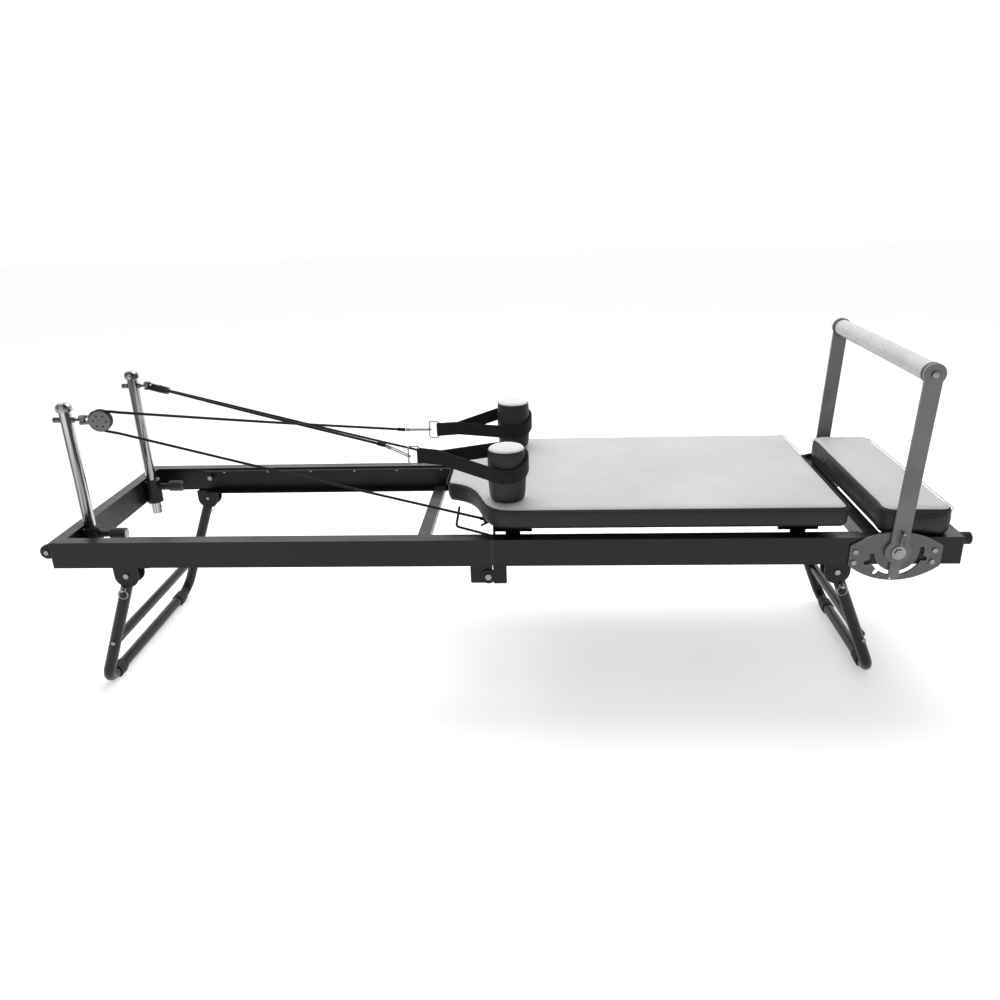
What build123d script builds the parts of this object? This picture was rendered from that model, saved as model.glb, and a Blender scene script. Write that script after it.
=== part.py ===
from build123d import *
from math import atan, atan2, cos, degrees, hypot, pi, radians, sin, sqrt
import os

# A folding pilates reformer. +X runs from the pulley end to the footbar end, +Z is up, and the
# origin is on the floor under the middle of the frame. "right" is -Y and "left" is +Y, as for a
# person lying on the carriage with the head at the pulley end. All sizes are in millimetres.

# Frame
length = 2400.0
width = 646.0
rail_top = 473.0
rail_height = 75.0
rail_width = 34.0
tube_wall = 2.0
seam_gap = 0.6
cap_thickness = 3.0
plug_fit = 0.2
end_bar_width = 34.0
spring_bar_size = 40.0
mid_bar = (-222.0, -187.0)
mid_bar_height = 20.0

half_length = length / 2
half_width = width / 2
rail_bottom = rail_top - rail_height
rail_inner = half_width - rail_width
spring_bar_x = half_length - 240.0

# Tracks and carriage wheels
track_sheet = 2.5
track_web_height = 70.0
track_lip = 17.0
track_floor_width = 41.0
head_track_start = -half_length + 200.0
foot_track_end = half_length - 245.0
stop_x = -half_length + 215.0
stop_z = rail_bottom + track_web_height - 24.0
stop_radius = 5.0
stop_reach = 14.0
wheel_radius = 28.0
wheel_width = 24.0
wheel_edge = 3.0
wheel_axle_radius = 5.0
wheel_clearance = 0.3
wheel_stations = (53.0, 805.0)
axle_fit = 0.2

web_inner = rail_inner - track_sheet
track_floor = rail_bottom + track_sheet
track_edge = rail_inner - track_floor_width
wheel_z = track_floor + wheel_clearance + wheel_radius
wheel_y = (track_edge + 8.0, track_edge + 8.0 + wheel_width)

# Carriage
pad_top = 558.0
pad_height = 46.0
board_height = 14.0
board_inset = 3.0
pad_head_x = -141.0
pad_shoulder_x = 50.0
pad_foot_x = 914.0
pad_neck_half = 110.0
underframe_height = 28.0
underframe_half_width = track_edge - 68.0
underframe_bar = 30.0
underframe_x = (-30.0, 880.0)
middle_bar_x = 430.0
rest_centre = (41.0, half_width - 86.0)
rest_radius = 52.0
rest_height = 148.0
rest_post_radius = 10.0
rest_post_height = 120.0
rest_gap = 0.3
grip_rod_radius = 3.5

pad_bottom = pad_top - pad_height
board_bottom = pad_bottom - board_height

# Springs under the carriage
spring_rows = (-135.0, -65.0, 0.0, 65.0, 135.0)
spring_z = board_bottom - 15.0
spring_radius = 9.0
spring_x = (840.0, 905.0)
spring_holder = (825.0, 841.0)
hook_radius = 12.5
hook_wire = 2.5

# Foot platform
foot_pad_x = (half_length - 210.0, half_length - 24.0)
foot_pad_height = 60.0
foot_pad_corner = 40.0
foot_board_height = 16.5
foot_board_gap = 0.5
foot_board_x = (foot_pad_x[0] + 14.0, foot_pad_x[1] - 10.0)
foot_board_half = half_width - 23.0
foot_board_top = rail_top + foot_board_gap + foot_board_height

# Posts and pulleys
post_radius = 16.0
post_wall = 2.0
post_x = -half_length + end_bar_width + post_radius + 1.0
post_y = 196.5
post_bottom = rail_bottom - 44.0
post_top = 806.0
cap_radius = post_radius + 5.5
cap_height = 22.0
hole_spacing = 35.0
hole_radius = 5.2
knob_z = rail_top - 27.0
knob_radius = 17.0
post_fit = 0.4
socket_radius = post_radius + 10.0
pulley_height = 781.0
eye_rod_radius = 4.0
pin_x = post_x + 46.0
pulley_arm = 45.0
sheave_radius = 30.0
sheave_width = 15.0
cheek_radius = 27.5
cheek_sheet = 2.5
cheek_gap = 17.0

# Each pulley hangs in line with its rope: ex runs from the pin to the sheave, ey lies across it
pulley_frames = {
    "right": {"ex": (0.9673, 0.2232, -0.1207), "ey": (-0.2249, 0.9744, 0.0)},
    "left": {"ex": (0.956, -0.2251, -0.1882), "ey": (0.2518, 0.3, 0.9201)},
}

# Ropes and straps
rope_radius = 4.0
rope_turn_radius = 28.5
webbing_width = 40.0
webbing_thickness = 5.0
strap_gap = 1.5
ring_size = (29.0, 52.0)
ring_corner = 6.0
hardware_wire = 2.0

rope_routes = {
    "rope_right": ((-12, -215, 485), (-1022.9, -178, 736.6), (-1081.7, -191.6, 752),
                   (-1090.6, -193.6, 783.1), (-1069, -188.7, 806.9), (-1009.8, -175, 793.6),
                   (-300, 200, 624)),
    "rope_left": ((-12, 215, 485), (-1075.4, 213.6, 767.9), (-1090.2, 193.2, 778.6),
                  (-1082.4, 167.7, 784.7), (-285, -200, 698)),
}
rope_turns = {"rope_right": (90.0, 28.4, 28.4, 28.4, 90.0), "rope_left": (28.4, 28.4, 28.4)}
strap_slopes = {
    "right": {"joint": (-138.0, -215.0), "start": (-184.0, -207.0), "z": 636.0, "y": -293.0,
              "rise": 0.393, "ring": (-208.0, -207.0, 670.0), "hook": (-285.0, -200.0, 698.0)},
    "left": {"joint": (-138.0, 205.0), "start": (-184.0, 201.0), "z": 617.0, "y": 185.0,
             "rise": 0.38, "ring": (-208.0, 201.0, 623.0), "hook": (-300.0, 200.0, 624.0)},
}

# Legs
leg_tube_radius = 16.0
leg_tube_wall = 2.0
leg_bend = 50.0
sleeve_radius = leg_tube_radius + 3.0
leg_axis_height = sleeve_radius
brace_radius = 14.0
brace_wall = 2.0
leg_gap = 0.5
plate_sheet = 3.0
leg_pivot_radius = 5.0
lock_pin_radius = 4.5
lock_reach = 42.0
ring_radius = 13.0
ring_wire = 1.5
head_leg = {"x": -half_length + 194.0, "z": rail_bottom - 28.0, "y": half_width - 27.0,
            "foot_x": -half_length + 58.0, "brace": (-half_length + 112.0, 156.5), "lobe": 34.0,
            "plate": (-half_length + 164.0, -half_length + 264.0), "inboard": half_width - 47.0}
foot_leg = {"x": half_length - 278.0, "z": rail_bottom - 58.0, "y": half_width - 92.0,
            "foot_x": half_length - 148.0, "brace": (half_length - 181.0, 128.0), "lobe": 34.0,
            "plate": (half_length - 338.0, half_length - 244.0), "inboard": half_width - 115.0}

# Folding hinge between the two halves
hinge_x = -12.0
hinge_z = rail_bottom - 33.0
hinge_lobe = 20.0
hinge_plate = 4.0
hinge_pin_radius = 6.0
head_ear = (half_width - 12.0, half_width - 8.0)
foot_ear = (half_width - 7.5, half_width - 3.5)
head_ear_x = (-60.0, -1.0)
foot_ear_x = (1.0, 37.0)

# Transport wheels, end bumpers and bolts
transport_radius = 20.0
transport_x = -half_length - 12.0
transport_z = rail_top - 29.0
transport_y = (half_width - 19.0, half_width - 4.0)
bumper_radius = 16.5
bumper_length = 32.0
bumper_y = half_width - 36.0
bumper_z = rail_top - 19.0
bolt_head = 4.0
pivot_bolt_radius = 4.8

# Footbar
bar_pivot = (half_length - 165.0, rail_top - 36.0)
bolt_radius = 5.9
bolt_hole = 4.2
quadrant_sheet = 5.0
quadrant_x = (half_length - 282.0, half_length - 167.0, half_length - 52.0)
quadrant_z = {"crown": rail_top + 16.0, "shoulder": rail_top - 21.0, "hip": rail_bottom - 1.0,
              "keel": rail_bottom - 43.0}
quadrant_bolts = ((half_length - 268.0, rail_top - 37.4), (half_length - 270.0, rail_bottom + 7.4),
                  (half_length - 71.6, rail_top - 34.3), (half_length - 74.3, rail_bottom + 9.5))
slot_radius = 62.0
slot_width = 12.0
slot_sweep = (-168.0, 5.0)
notches = ((-156.0, 80.0), (-128.0, 77.0), (-93.0, 76.0), (-17.0, 74.0))
arm_sheet = 8.0
arm_gap = 1.0
arm_width = 42.0
arm_length = 458.0
arm_tilt = 2.7
arm_hub_radius = 32.0
tail_radius = 63.7
tail_width = 25.0
tail_pin_radius = 4.0
bush_radius = 8.0
flange_radius = 18.0
lift_travel = 3.4
bar_radius = 24.0
bar_wall = 3.0
bar_half_length = half_width - 5.0
ring_plug_radius = 26.5
coil_radius = 6.0
coil_offset = 10.5
coil_reach = (22.0, 52.0)
stud_reach = 56.0

arm_y = (half_width + quadrant_sheet + arm_gap, half_width + quadrant_sheet + arm_gap + arm_sheet)
SIDES = {"right": -1, "left": 1}


def span(limits):
    return abs(limits[1] - limits[0]), (limits[0] + limits[1]) / 2


def block(x, y, z, mode=Mode.ADD):
    """A box between the two limits given along each axis."""
    (size_x, mid_x), (size_y, mid_y), (size_z, mid_z) = span(x), span(y), span(z)
    with Locations((mid_x, mid_y, mid_z)):
        Box(size_x, size_y, size_z, mode=mode)


def pair(x, y, z, mode=Mode.ADD):
    """The same box on both sides of the middle plane."""
    for side in SIDES.values():
        block(x, (side * y[0], side * y[1]), z, mode)


def cross_rod(x, z, y, radius, mode=Mode.ADD):
    """A round bar along Y between two limits."""
    size, middle = span(y)
    with Locations((x, middle, z)):
        Cylinder(radius, size, rotation=(90, 0, 0), mode=mode)


def upright(x, y, z, radius, mode=Mode.ADD):
    """A round bar along Z between two limits."""
    size, middle = span(z)
    with Locations((x, y, middle)):
        Cylinder(radius, size, mode=mode)


def long_rod(x, y, z, radius, mode=Mode.ADD):
    """A round bar along X between two limits."""
    size, middle = span(x)
    with Locations((middle, y, z)):
        Cylinder(radius, size, rotation=(0, 90, 0), mode=mode)


def side_plane(y):
    """A sketch plane across Y: sketch x is X and sketch y is Z."""
    return Plane((0, y, 0), x_dir=(1, 0, 0), z_dir=(0, -1, 0))


def box_tube(x, y, z, open_along):
    """A square tube, hollow along one axis."""
    block(x, y, z)
    inside = [(min(limits) + tube_wall, max(limits) - tube_wall) for limits in (x, y, z)]
    axis = "xyz".index(open_along)
    inside[axis] = (x, y, z)[axis]
    block(*inside, mode=Mode.SUBTRACT)


def wire_loop(plane, size, corner, wire):
    """A closed loop of round wire, with rounded corners, in a plane."""
    half_x, half_y = size[0] / 2, size[1] / 2
    with BuildLine(plane) as path:
        FilletPolyline((-half_x, -half_y), (half_x, -half_y), (half_x, half_y),
                       (-half_x, half_y), radius=corner, close=True)
    with BuildSketch(Plane(path.line @ 0, z_dir=path.line % 0)) as section:
        Circle(wire)
    sweep(section.sketch, path=path.line)


def save(piece, name):
    """Label a finished piece and write its STEP file."""
    piece.part.label = name
    export_step(piece.part, f"parts/{name}.step")


# ---------------------------------------------------------------- frame halves

def rails(name, x, holes=()):
    with BuildPart() as piece:
        for side in SIDES.values():
            box_tube(x, (side * rail_inner, side * half_width), (rail_bottom, rail_top), "x")
            for hole_x, hole_z, radius in holes:
                wall = (side * (half_width - tube_wall - 1), side * (half_width + 1))
                cross_rod(hole_x, hole_z, wall, radius, Mode.SUBTRACT)
    save(piece, name)


def rail_caps(name, ends):
    """Plugs that close the rail tubes; an end with a wheel has a window and a lug for it."""
    hollow = tube_wall + plug_fit
    with BuildPart() as piece:
        for outer, inner, has_wheel in ends:
            plug_end = inner + (inner - outer) * 4
            pair((outer, inner), (rail_inner, half_width), (rail_bottom, rail_top))
            pair((inner, plug_end), (rail_inner + hollow, half_width - hollow),
                 (rail_bottom + hollow, rail_top - hollow))
            if has_wheel:
                pair((outer, plug_end), (transport_y[0] - 1, half_width - hollow),
                     (transport_z - transport_radius - 3, transport_z + transport_radius + 3),
                     Mode.SUBTRACT)
                pair((outer, transport_x - 8), (transport_y[0] - 7, transport_y[0] - 3),
                     (transport_z - 9, transport_z + 9))
                for side in SIDES.values():
                    lug = (side * (transport_y[0] - 8), side * (transport_y[0] - 2))
                    cross_rod(transport_x, transport_z, lug, 5.0, Mode.SUBTRACT)
    save(piece, name)


def head_cross_members():
    floor = (rail_bottom, rail_bottom + mid_bar_height)
    with BuildPart() as piece:
        box_tube((-half_length, -half_length + end_bar_width), (-rail_inner, rail_inner),
                 (rail_bottom, rail_top), "y")
        box_tube(mid_bar, (-track_edge, track_edge), floor, "y")
    save(piece, "head_cross_members")


def foot_cross_members():
    with BuildPart() as piece:
        box_tube((half_length - end_bar_width, half_length), (-rail_inner, rail_inner),
                 (rail_bottom, rail_top), "y")
        box_tube((spring_bar_x, spring_bar_x + spring_bar_size), (-rail_inner, rail_inner),
                 (rail_top - spring_bar_size, rail_top), "y")
    save(piece, "foot_cross_members")


def tracks(name, x):
    """C-channels on the inner faces of the rails that the carriage wheels run in."""
    top = rail_bottom + track_web_height
    with BuildPart() as piece:
        pair(x, (web_inner, rail_inner), (rail_bottom, top))
        pair(x, (track_edge, web_inner), (rail_bottom, track_floor))
        pair(x, (rail_inner - track_lip, web_inner), (top - track_sheet, top))
    save(piece, name)


def leg_brackets(name, leg):
    """Two plates each side of each leg tube, under a plate on the rail."""
    inner = leg["y"] - leg_tube_radius - leg_gap
    outer = leg["y"] + leg_tube_radius + leg_gap
    plates = ((inner - plate_sheet, inner), (outer, outer + plate_sheet))
    with BuildPart() as piece:
        for side in SIDES.values():
            for plate in plates:
                with BuildSketch(side_plane(side * sum(plate) / 2)):
                    with Locations((leg["x"], leg["z"])):
                        Circle(leg["lobe"])
                    with Locations((leg["x"], (leg["z"] + rail_bottom) / 2)):
                        Rectangle(2 * leg["lobe"], rail_bottom - leg["z"])
                    with Locations((leg["x"], rail_bottom + leg["lobe"])):
                        Rectangle(3 * leg["lobe"], 2 * leg["lobe"], mode=Mode.SUBTRACT)
                extrude(amount=plate_sheet / 2, both=True)
            flange = (side * leg["inboard"], side * (half_width - 3))
            block(leg["plate"], flange, (rail_bottom - plate_sheet, rail_bottom))
            cross_rod(leg["x"], leg["z"], (side * (inner - 5), side * (outer + 5)),
                      leg_pivot_radius, Mode.SUBTRACT)
    save(piece, name)


def hinge_plates(name, y, x, pin_hole):
    """Ears under the seam that carry the folding hinge."""
    with BuildPart() as piece:
        for side in SIDES.values():
            with BuildSketch(side_plane(side * sum(y) / 2)):
                with Locations((hinge_x, hinge_z)):
                    Circle(hinge_lobe)
                low = hinge_z - hinge_lobe
                with Locations(((x[0] + x[1]) / 2, (low + rail_bottom) / 2)):
                    RectangleRounded(x[1] - x[0], rail_bottom - low, 4.0)
            extrude(amount=hinge_plate / 2, both=True)
            block(x, (side * (rail_inner + 1), side * y[0]), (rail_bottom - hinge_plate, rail_bottom))
            cross_rod(hinge_x, hinge_z, (side * (y[0] - 2), side * (y[1] + 2)), pin_hole,
                      Mode.SUBTRACT)
    save(piece, name)


def post_sockets():
    """Sleeves welded to the end bar, with the threaded nose that takes each pop pin."""
    with BuildPart() as piece:
        for side in SIDES.values():
            y = side * post_y
            upright(post_x, y, (rail_bottom - 5, rail_top - 5), socket_radius)
            long_rod((post_x, post_x + 50), y, knob_z, 9.0)
            block((-half_length + end_bar_width, post_x + 8), (y - 20, y + 20),
                  (rail_bottom + 5, rail_top - 8))
            upright(post_x, y, (rail_bottom - 6, rail_top), post_radius + post_fit, Mode.SUBTRACT)
            block((post_x - 40, -half_length + end_bar_width), (y - 40, y + 40),
                  (rail_bottom - 6, rail_top), Mode.SUBTRACT)
            long_rod((post_x + 5, post_x + 60), y, knob_z, 5.3, Mode.SUBTRACT)
    save(piece, "post_sockets")


# ---------------------------------------------------------------- small hardware of the frame

def hex_bolt(x, z, y, radius, head_radius):
    """A bolt along Y from the first limit to the second, with a hexagon head beyond the second."""
    side = 1 if y[1] > y[0] else -1
    cross_rod(x, z, y, radius)
    with BuildSketch(side_plane(y[1])) as head:
        with Locations((x, z)):
            RegularPolygon(head_radius, 6)
    extrude(head.sketch, amount=-side * bolt_head)


def head_bolts():
    """Wheel-stop bolts, transport wheel axles and leg pivot bolts."""
    with BuildPart() as piece:
        for side in SIDES.values():
            hex_bolt(stop_x, stop_z, (side * web_inner, side * (web_inner - stop_reach)), stop_radius, 8.0)
            hex_bolt(transport_x, transport_z, (side * (transport_y[0] - 9), side * (transport_y[1] + 0.5)),
                     pivot_bolt_radius, 7.0)
            outer = head_leg["y"] + leg_tube_radius + leg_gap + plate_sheet
            inner = head_leg["y"] - leg_tube_radius - leg_gap - plate_sheet
            hex_bolt(head_leg["x"], head_leg["z"], (side * (inner - 3), side * outer),
                     pivot_bolt_radius, 8.0)
    save(piece, "head_bolts")


def foot_bolts():
    """Quadrant bolts, leg pivots, folding hinge pins and footbar pivot bolts."""
    outer = foot_leg["y"] + leg_tube_radius + leg_gap + plate_sheet
    inner = foot_leg["y"] - leg_tube_radius - leg_gap - plate_sheet
    face = half_width + quadrant_sheet
    with BuildPart() as piece:
        for side in SIDES.values():
            for x, z in quadrant_bolts:
                hex_bolt(x, z, (side * (half_width - tube_wall), side * face), 4.0, 7.0)
            hex_bolt(foot_leg["x"], foot_leg["z"], (side * (inner - 3), side * outer),
                     pivot_bolt_radius, 8.0)
            hex_bolt(hinge_x, hinge_z, (side * (head_ear[0] - 4), side * foot_ear[1]), 5.8, 9.0)
            hex_bolt(bar_pivot[0], bar_pivot[1], (side * (half_width - tube_wall), side * (arm_y[1] + 4.5)),
                     bolt_radius, 11.0)
    save(piece, "foot_bolts")


def transport_wheel(name, side):
    with BuildPart() as piece:
        cross_rod(transport_x, transport_z, (side * transport_y[0], side * transport_y[1]),
                  transport_radius)
        fillet(piece.edges().filter_by(GeomType.CIRCLE), 3.0)
        cross_rod(transport_x, transport_z, (side * transport_y[0], side * transport_y[1]), 5.2,
                  Mode.SUBTRACT)
    save(piece, name)


def end_bumpers():
    with BuildPart() as piece:
        for side in SIDES.values():
            long_rod((half_length, half_length + bumper_length), side * bumper_y, bumper_z, bumper_radius)
        fillet(piece.faces().sort_by(Axis.X)[-2:].edges(), 4.0)
    save(piece, "end_bumpers")


def footbar_quadrants():
    """Plates on the rails with the curved slot and notches that set the footbar's angle."""
    left, middle, right = quadrant_x
    crown, shoulder, hip, keel = (quadrant_z[name] for name in ("crown", "shoulder", "hip", "keel"))
    with BuildPart() as piece:
        for side in SIDES.values():
            with BuildSketch(side_plane(side * (half_width + quadrant_sheet / 2))) as plate:
                with BuildLine():
                    Line((left, hip), (left, shoulder))
                    ThreePointArc((left, shoulder), (middle, crown), (right, shoulder))
                    Line((right, shoulder), (right, hip))
                    ThreePointArc((right, hip), (middle, keel), (left, hip))
                make_face()
                fillet(plate.vertices(), 6.0)
                with Locations(bar_pivot):
                    Circle(bolt_radius + 0.2, mode=Mode.SUBTRACT)
                    slot_arc(*slot_sweep)
                    for angle, reach in notches:
                        notch(angle, reach)
                for x, z in quadrant_bolts:
                    with Locations((x, z)):
                        Circle(bolt_hole, mode=Mode.SUBTRACT)
            extrude(amount=quadrant_sheet / 2, both=True)
    save(piece, "footbar_quadrants")


def slot_arc(start, end):
    """A curved slot about the origin of the current location, cut from the sketch."""
    with BuildLine(mode=Mode.PRIVATE) as path:
        CenterArc((0, 0), slot_radius, start, end - start)
    SlotArc(path.edges()[0], slot_width, mode=Mode.SUBTRACT)


def notch(angle, reach):
    """A rounded notch from the curved slot outwards."""
    middle = (slot_radius + reach) / 2
    with Locations(Location((middle * cos(radians(angle)), middle * sin(radians(angle))), angle)):
        SlotCenterToCenter(reach - slot_radius, slot_width, mode=Mode.SUBTRACT)


# ---------------------------------------------------------------- legs

def leg_direction(leg):
    """Unit vector in X and Z from the leg's pivot to its foot, and its length."""
    run, drop = leg["foot_x"] - leg["x"], leg_axis_height - leg["z"]
    reach = hypot(run, drop)
    return run / reach, drop / reach, reach


def leg_frame(name, leg):
    """A bent tube under each end, with a brace across it."""
    ux, uz, reach = leg_direction(leg)
    top = (leg["x"] - 14 * ux, leg["z"] - 14 * uz)
    foot = (leg["foot_x"], leg_axis_height)
    corners = [(*top, -1), (*foot, -1), (*foot, 1), (*top, 1)]
    points = [(x, side * leg["y"], z) for x, z, side in corners]
    with BuildPart() as piece:
        with BuildLine() as path:
            FilletPolyline(*points, radius=[leg_bend, leg_bend])
        with BuildSketch(Plane(path.line @ 0, z_dir=path.line % 0)):
            Circle(leg_tube_radius)
            Circle(leg_tube_radius - leg_tube_wall, mode=Mode.SUBTRACT)
        sweep(path=path.line)
        brace_end = leg["y"] - leg_tube_radius + 0.6
        cross_rod(*leg["brace"], (-brace_end, brace_end), brace_radius)
        hollow_end = leg["y"] - leg_tube_radius
        cross_rod(*leg["brace"], (-hollow_end, hollow_end), brace_radius - brace_wall, Mode.SUBTRACT)
        lock = lock_place(leg)
        for side in SIDES.values():
            cross_rod(leg["x"], leg["z"], (side * (leg["y"] - 20), side * (leg["y"] + 20)), 5.2,
                      Mode.SUBTRACT)
            cross_rod(*lock, (side * leg["y"], side * (leg["y"] + 20)), lock_pin_radius + 0.3,
                      Mode.SUBTRACT)
    save(piece, name)


def lock_place(leg):
    ux, uz, reach = leg_direction(leg)
    return leg["x"] + lock_reach * ux, leg["z"] + lock_reach * uz


def leg_feet(name, leg):
    """Rubber sleeves on the bottom tube, flat where they meet the floor."""
    x = leg["foot_x"]
    with BuildPart() as piece:
        for side in SIDES.values():
            y = (side * (leg["y"] - 95), side * (leg["y"] - 55))
            cross_rod(x, leg_axis_height, y, sleeve_radius)
            block((x - 12, x + 12), y, (0, leg_axis_height))
            cross_rod(x, leg_axis_height, y, leg_tube_radius, Mode.SUBTRACT)
    save(piece, name)


def leg_lock(name, leg, side):
    """A sprung lock pin through the outer wall of a leg tube, with its pull ring."""
    x, z = lock_place(leg)
    plate_face = leg["y"] + leg_tube_radius + leg_gap + plate_sheet
    hole_y = plate_face + 9
    with BuildPart() as piece:
        cross_rod(x, z, (side * (leg["y"] + 4), side * (plate_face + 14)), lock_pin_radius)
        cross_rod(x, z, (side * (plate_face + 1), side * (plate_face + 5)), 7.0)
        long_rod((x - 10, x + 10), side * hole_y, z, 2.4, Mode.SUBTRACT)
        with Locations(Location((x, side * hole_y, z - ring_radius + 0.4), (90, 0, 0))):
            Torus(ring_radius, ring_wire)
    save(piece, name)


# ---------------------------------------------------------------- pulley posts

def post(name, side):
    """A chromed tube with a domed cap, and the hole at its foot that the pop pin enters."""
    y = side * post_y
    with BuildPart() as piece:
        upright(post_x, y, (post_bottom, post_top), post_radius)
        upright(post_x, y, (post_bottom - 1, post_top - 4), post_radius - post_wall, Mode.SUBTRACT)
        upright(post_x, y, (post_top, post_top + cap_height), cap_radius)
        fillet(piece.edges().filter_by(GeomType.CIRCLE).sort_by(Axis.Z)[-1:], cap_height * 0.6)
        long_rod((post_x - 30, post_x + 30), y, pulley_height, eye_rod_radius + 0.05, Mode.SUBTRACT)
        for step in (0, 1, 2):
            long_rod((post_x, post_x + 30), y, knob_z - step * hole_spacing, hole_radius,
                     Mode.SUBTRACT)
    save(piece, name)


def pop_pin(name, side):
    """The knob that locks a post; its nose stands clear of the post and pulls out along +X."""
    y = side * post_y
    nose = post_x + post_radius + post_fit + 0.4
    with BuildPart() as piece:
        long_rod((nose, post_x + 66), y, knob_z, 5.0)
        long_rod((post_x + 50.5, post_x + 66), y, knob_z, 8.0)
        long_rod((post_x + 60, post_x + 102), y, knob_z, knob_radius)
        fillet(piece.edges().filter_by(GeomType.CIRCLE).sort_by(Axis.X)[-1:], 3.0)
    save(piece, name)


def eye_bolt(name, side):
    """A rod through the post with a nut behind it and a vertical pin at its front end."""
    y = side * post_y
    with BuildPart() as piece:
        long_rod((post_x - 31, pin_x), y, pulley_height, eye_rod_radius)
        long_rod((post_x - 35, post_x - post_radius - 0.3), y, pulley_height, 7.5)
        long_rod((post_x + post_radius + 0.3, post_x + post_radius + 6), y, pulley_height, 7.5)
        upright(pin_x, y, (pulley_height - 12, pulley_height + 12), 4.0)
        upright(pin_x, y, (pulley_height - 4.5, pulley_height + 4.5), 7.0)
    save(piece, name)


def pulley_plane(side_name):
    """The plane of a sheave: sketch x runs from the pin to the sheave's centre."""
    frame = pulley_frames[side_name]
    side = SIDES[side_name]
    along = Vector(*frame["ex"]).normalized()
    across = Vector(*frame["ey"])
    across = (across - along * across.dot(along)).normalized()
    pin = Vector(pin_x, side * post_y, pulley_height)
    return Plane(pin + along * pulley_arm, x_dir=along, z_dir=across)


def pulley_block(name, side_name):
    """Two cheeks with an axle between them, and the fork that hangs them on the eye pin."""
    plane = pulley_plane(side_name)
    inner = cheek_gap / 2
    pin = (pin_x, SIDES[side_name] * post_y, pulley_height)
    with BuildPart() as piece:
        for z in (inner, -inner - cheek_sheet):
            with BuildSketch(plane.offset(z)):
                Circle(cheek_radius)
                with Locations((-pulley_arm / 2 - 3, 0)):
                    Rectangle(pulley_arm + 6, 20)
                with PolarLocations(16, 6):
                    Circle(2.6, mode=Mode.SUBTRACT)
            extrude(amount=cheek_sheet)
        with BuildSketch(plane.offset(-inner - cheek_sheet - 1)):
            Circle(4.5)
        extrude(amount=2 * (inner + cheek_sheet + 1))
        upright(*pin[:2], (pulley_height - 11.5, pulley_height + 11.5), 10.5)
        upright(*pin[:2], (pulley_height - 5, pulley_height + 5), 20.0, Mode.SUBTRACT)
        upright(*pin[:2], (pulley_height - 20, pulley_height + 20), 4.3, Mode.SUBTRACT)
    save(piece, name)


def sheave(name, side_name):
    """A grooved wheel; the rope lies in its groove."""
    plane = pulley_plane(side_name)
    half = sheave_width / 2
    groove = rope_turn_radius - rope_radius - 0.3
    with BuildPart() as piece:
        with BuildSketch(Plane(plane.origin, x_dir=plane.x_dir, z_dir=plane.y_dir)):
            with BuildLine():
                Polyline((4.8, half), (4.8, -half), (sheave_radius, -half), (sheave_radius, 1.4 - half))
                Line((sheave_radius, 1.4 - half), (groove + 2.2, -4.4))
                ThreePointArc((groove + 2.2, -4.4), (groove, 0), (groove + 2.2, 4.4))
                Line((groove + 2.2, 4.4), (sheave_radius, half - 1.4))
                Polyline((sheave_radius, half - 1.4), (sheave_radius, half), (4.8, half))
            make_face()
        revolve(axis=Axis(plane.origin, plane.z_dir))
    save(piece, name)


# ---------------------------------------------------------------- ropes and straps

def rope(name):
    """A cord from the carriage, round its sheave and back to a strap."""
    with BuildPart() as piece:
        with BuildLine() as path:
            FilletPolyline(*rope_routes[name], radius=list(rope_turns[name]))
        with BuildSketch(Plane(path.line @ 0, z_dir=path.line % 0)):
            Circle(rope_radius)
        sweep(path=path.line)
    route_length = path.wires()[0].length
    ideal = pi * rope_radius ** 2 * route_length
    print(name, "length", round(route_length, 1), "radii", rope_turns[name],
          "volume ratio", round(piece.part.volume / ideal, 4))
    save(piece, name)


def strap_outline(strap, side, offset):
    """Plan of the loop round a shoulder rest, at a distance from the webbing's middle."""
    centre = (rest_centre[0], side * rest_centre[1])
    middle_radius = rest_radius + strap_gap + webbing_thickness / 2
    radius = middle_radius + offset
    run, rise = centre[0] - strap["joint"][0], centre[1] - strap["joint"][1]
    heading = atan2(rise, run)
    reach = hypot(run, rise) * radius / middle_radius
    tip = (centre[0] - reach * cos(heading), centre[1] - reach * sin(heading))
    tangent = sqrt(reach ** 2 - radius ** 2)
    half = atan2(radius, tangent)
    ends = [(tip[0] + tangent * cos(heading + turn), tip[1] + tangent * sin(heading + turn))
            for turn in (-half, half)]
    back = (centre[0] + radius * cos(heading), centre[1] + radius * sin(heading))
    return tip, ends, back


def strap_loop_sketch(strap, side, offset, mode):
    tip, ends, back = strap_outline(strap, side, offset)
    with BuildLine() as loop:
        Line(tip, ends[0])
        ThreePointArc(ends[0], back, ends[1])
        Line(ends[1], tip)
    make_face(loop.edges(), mode=mode)


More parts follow.
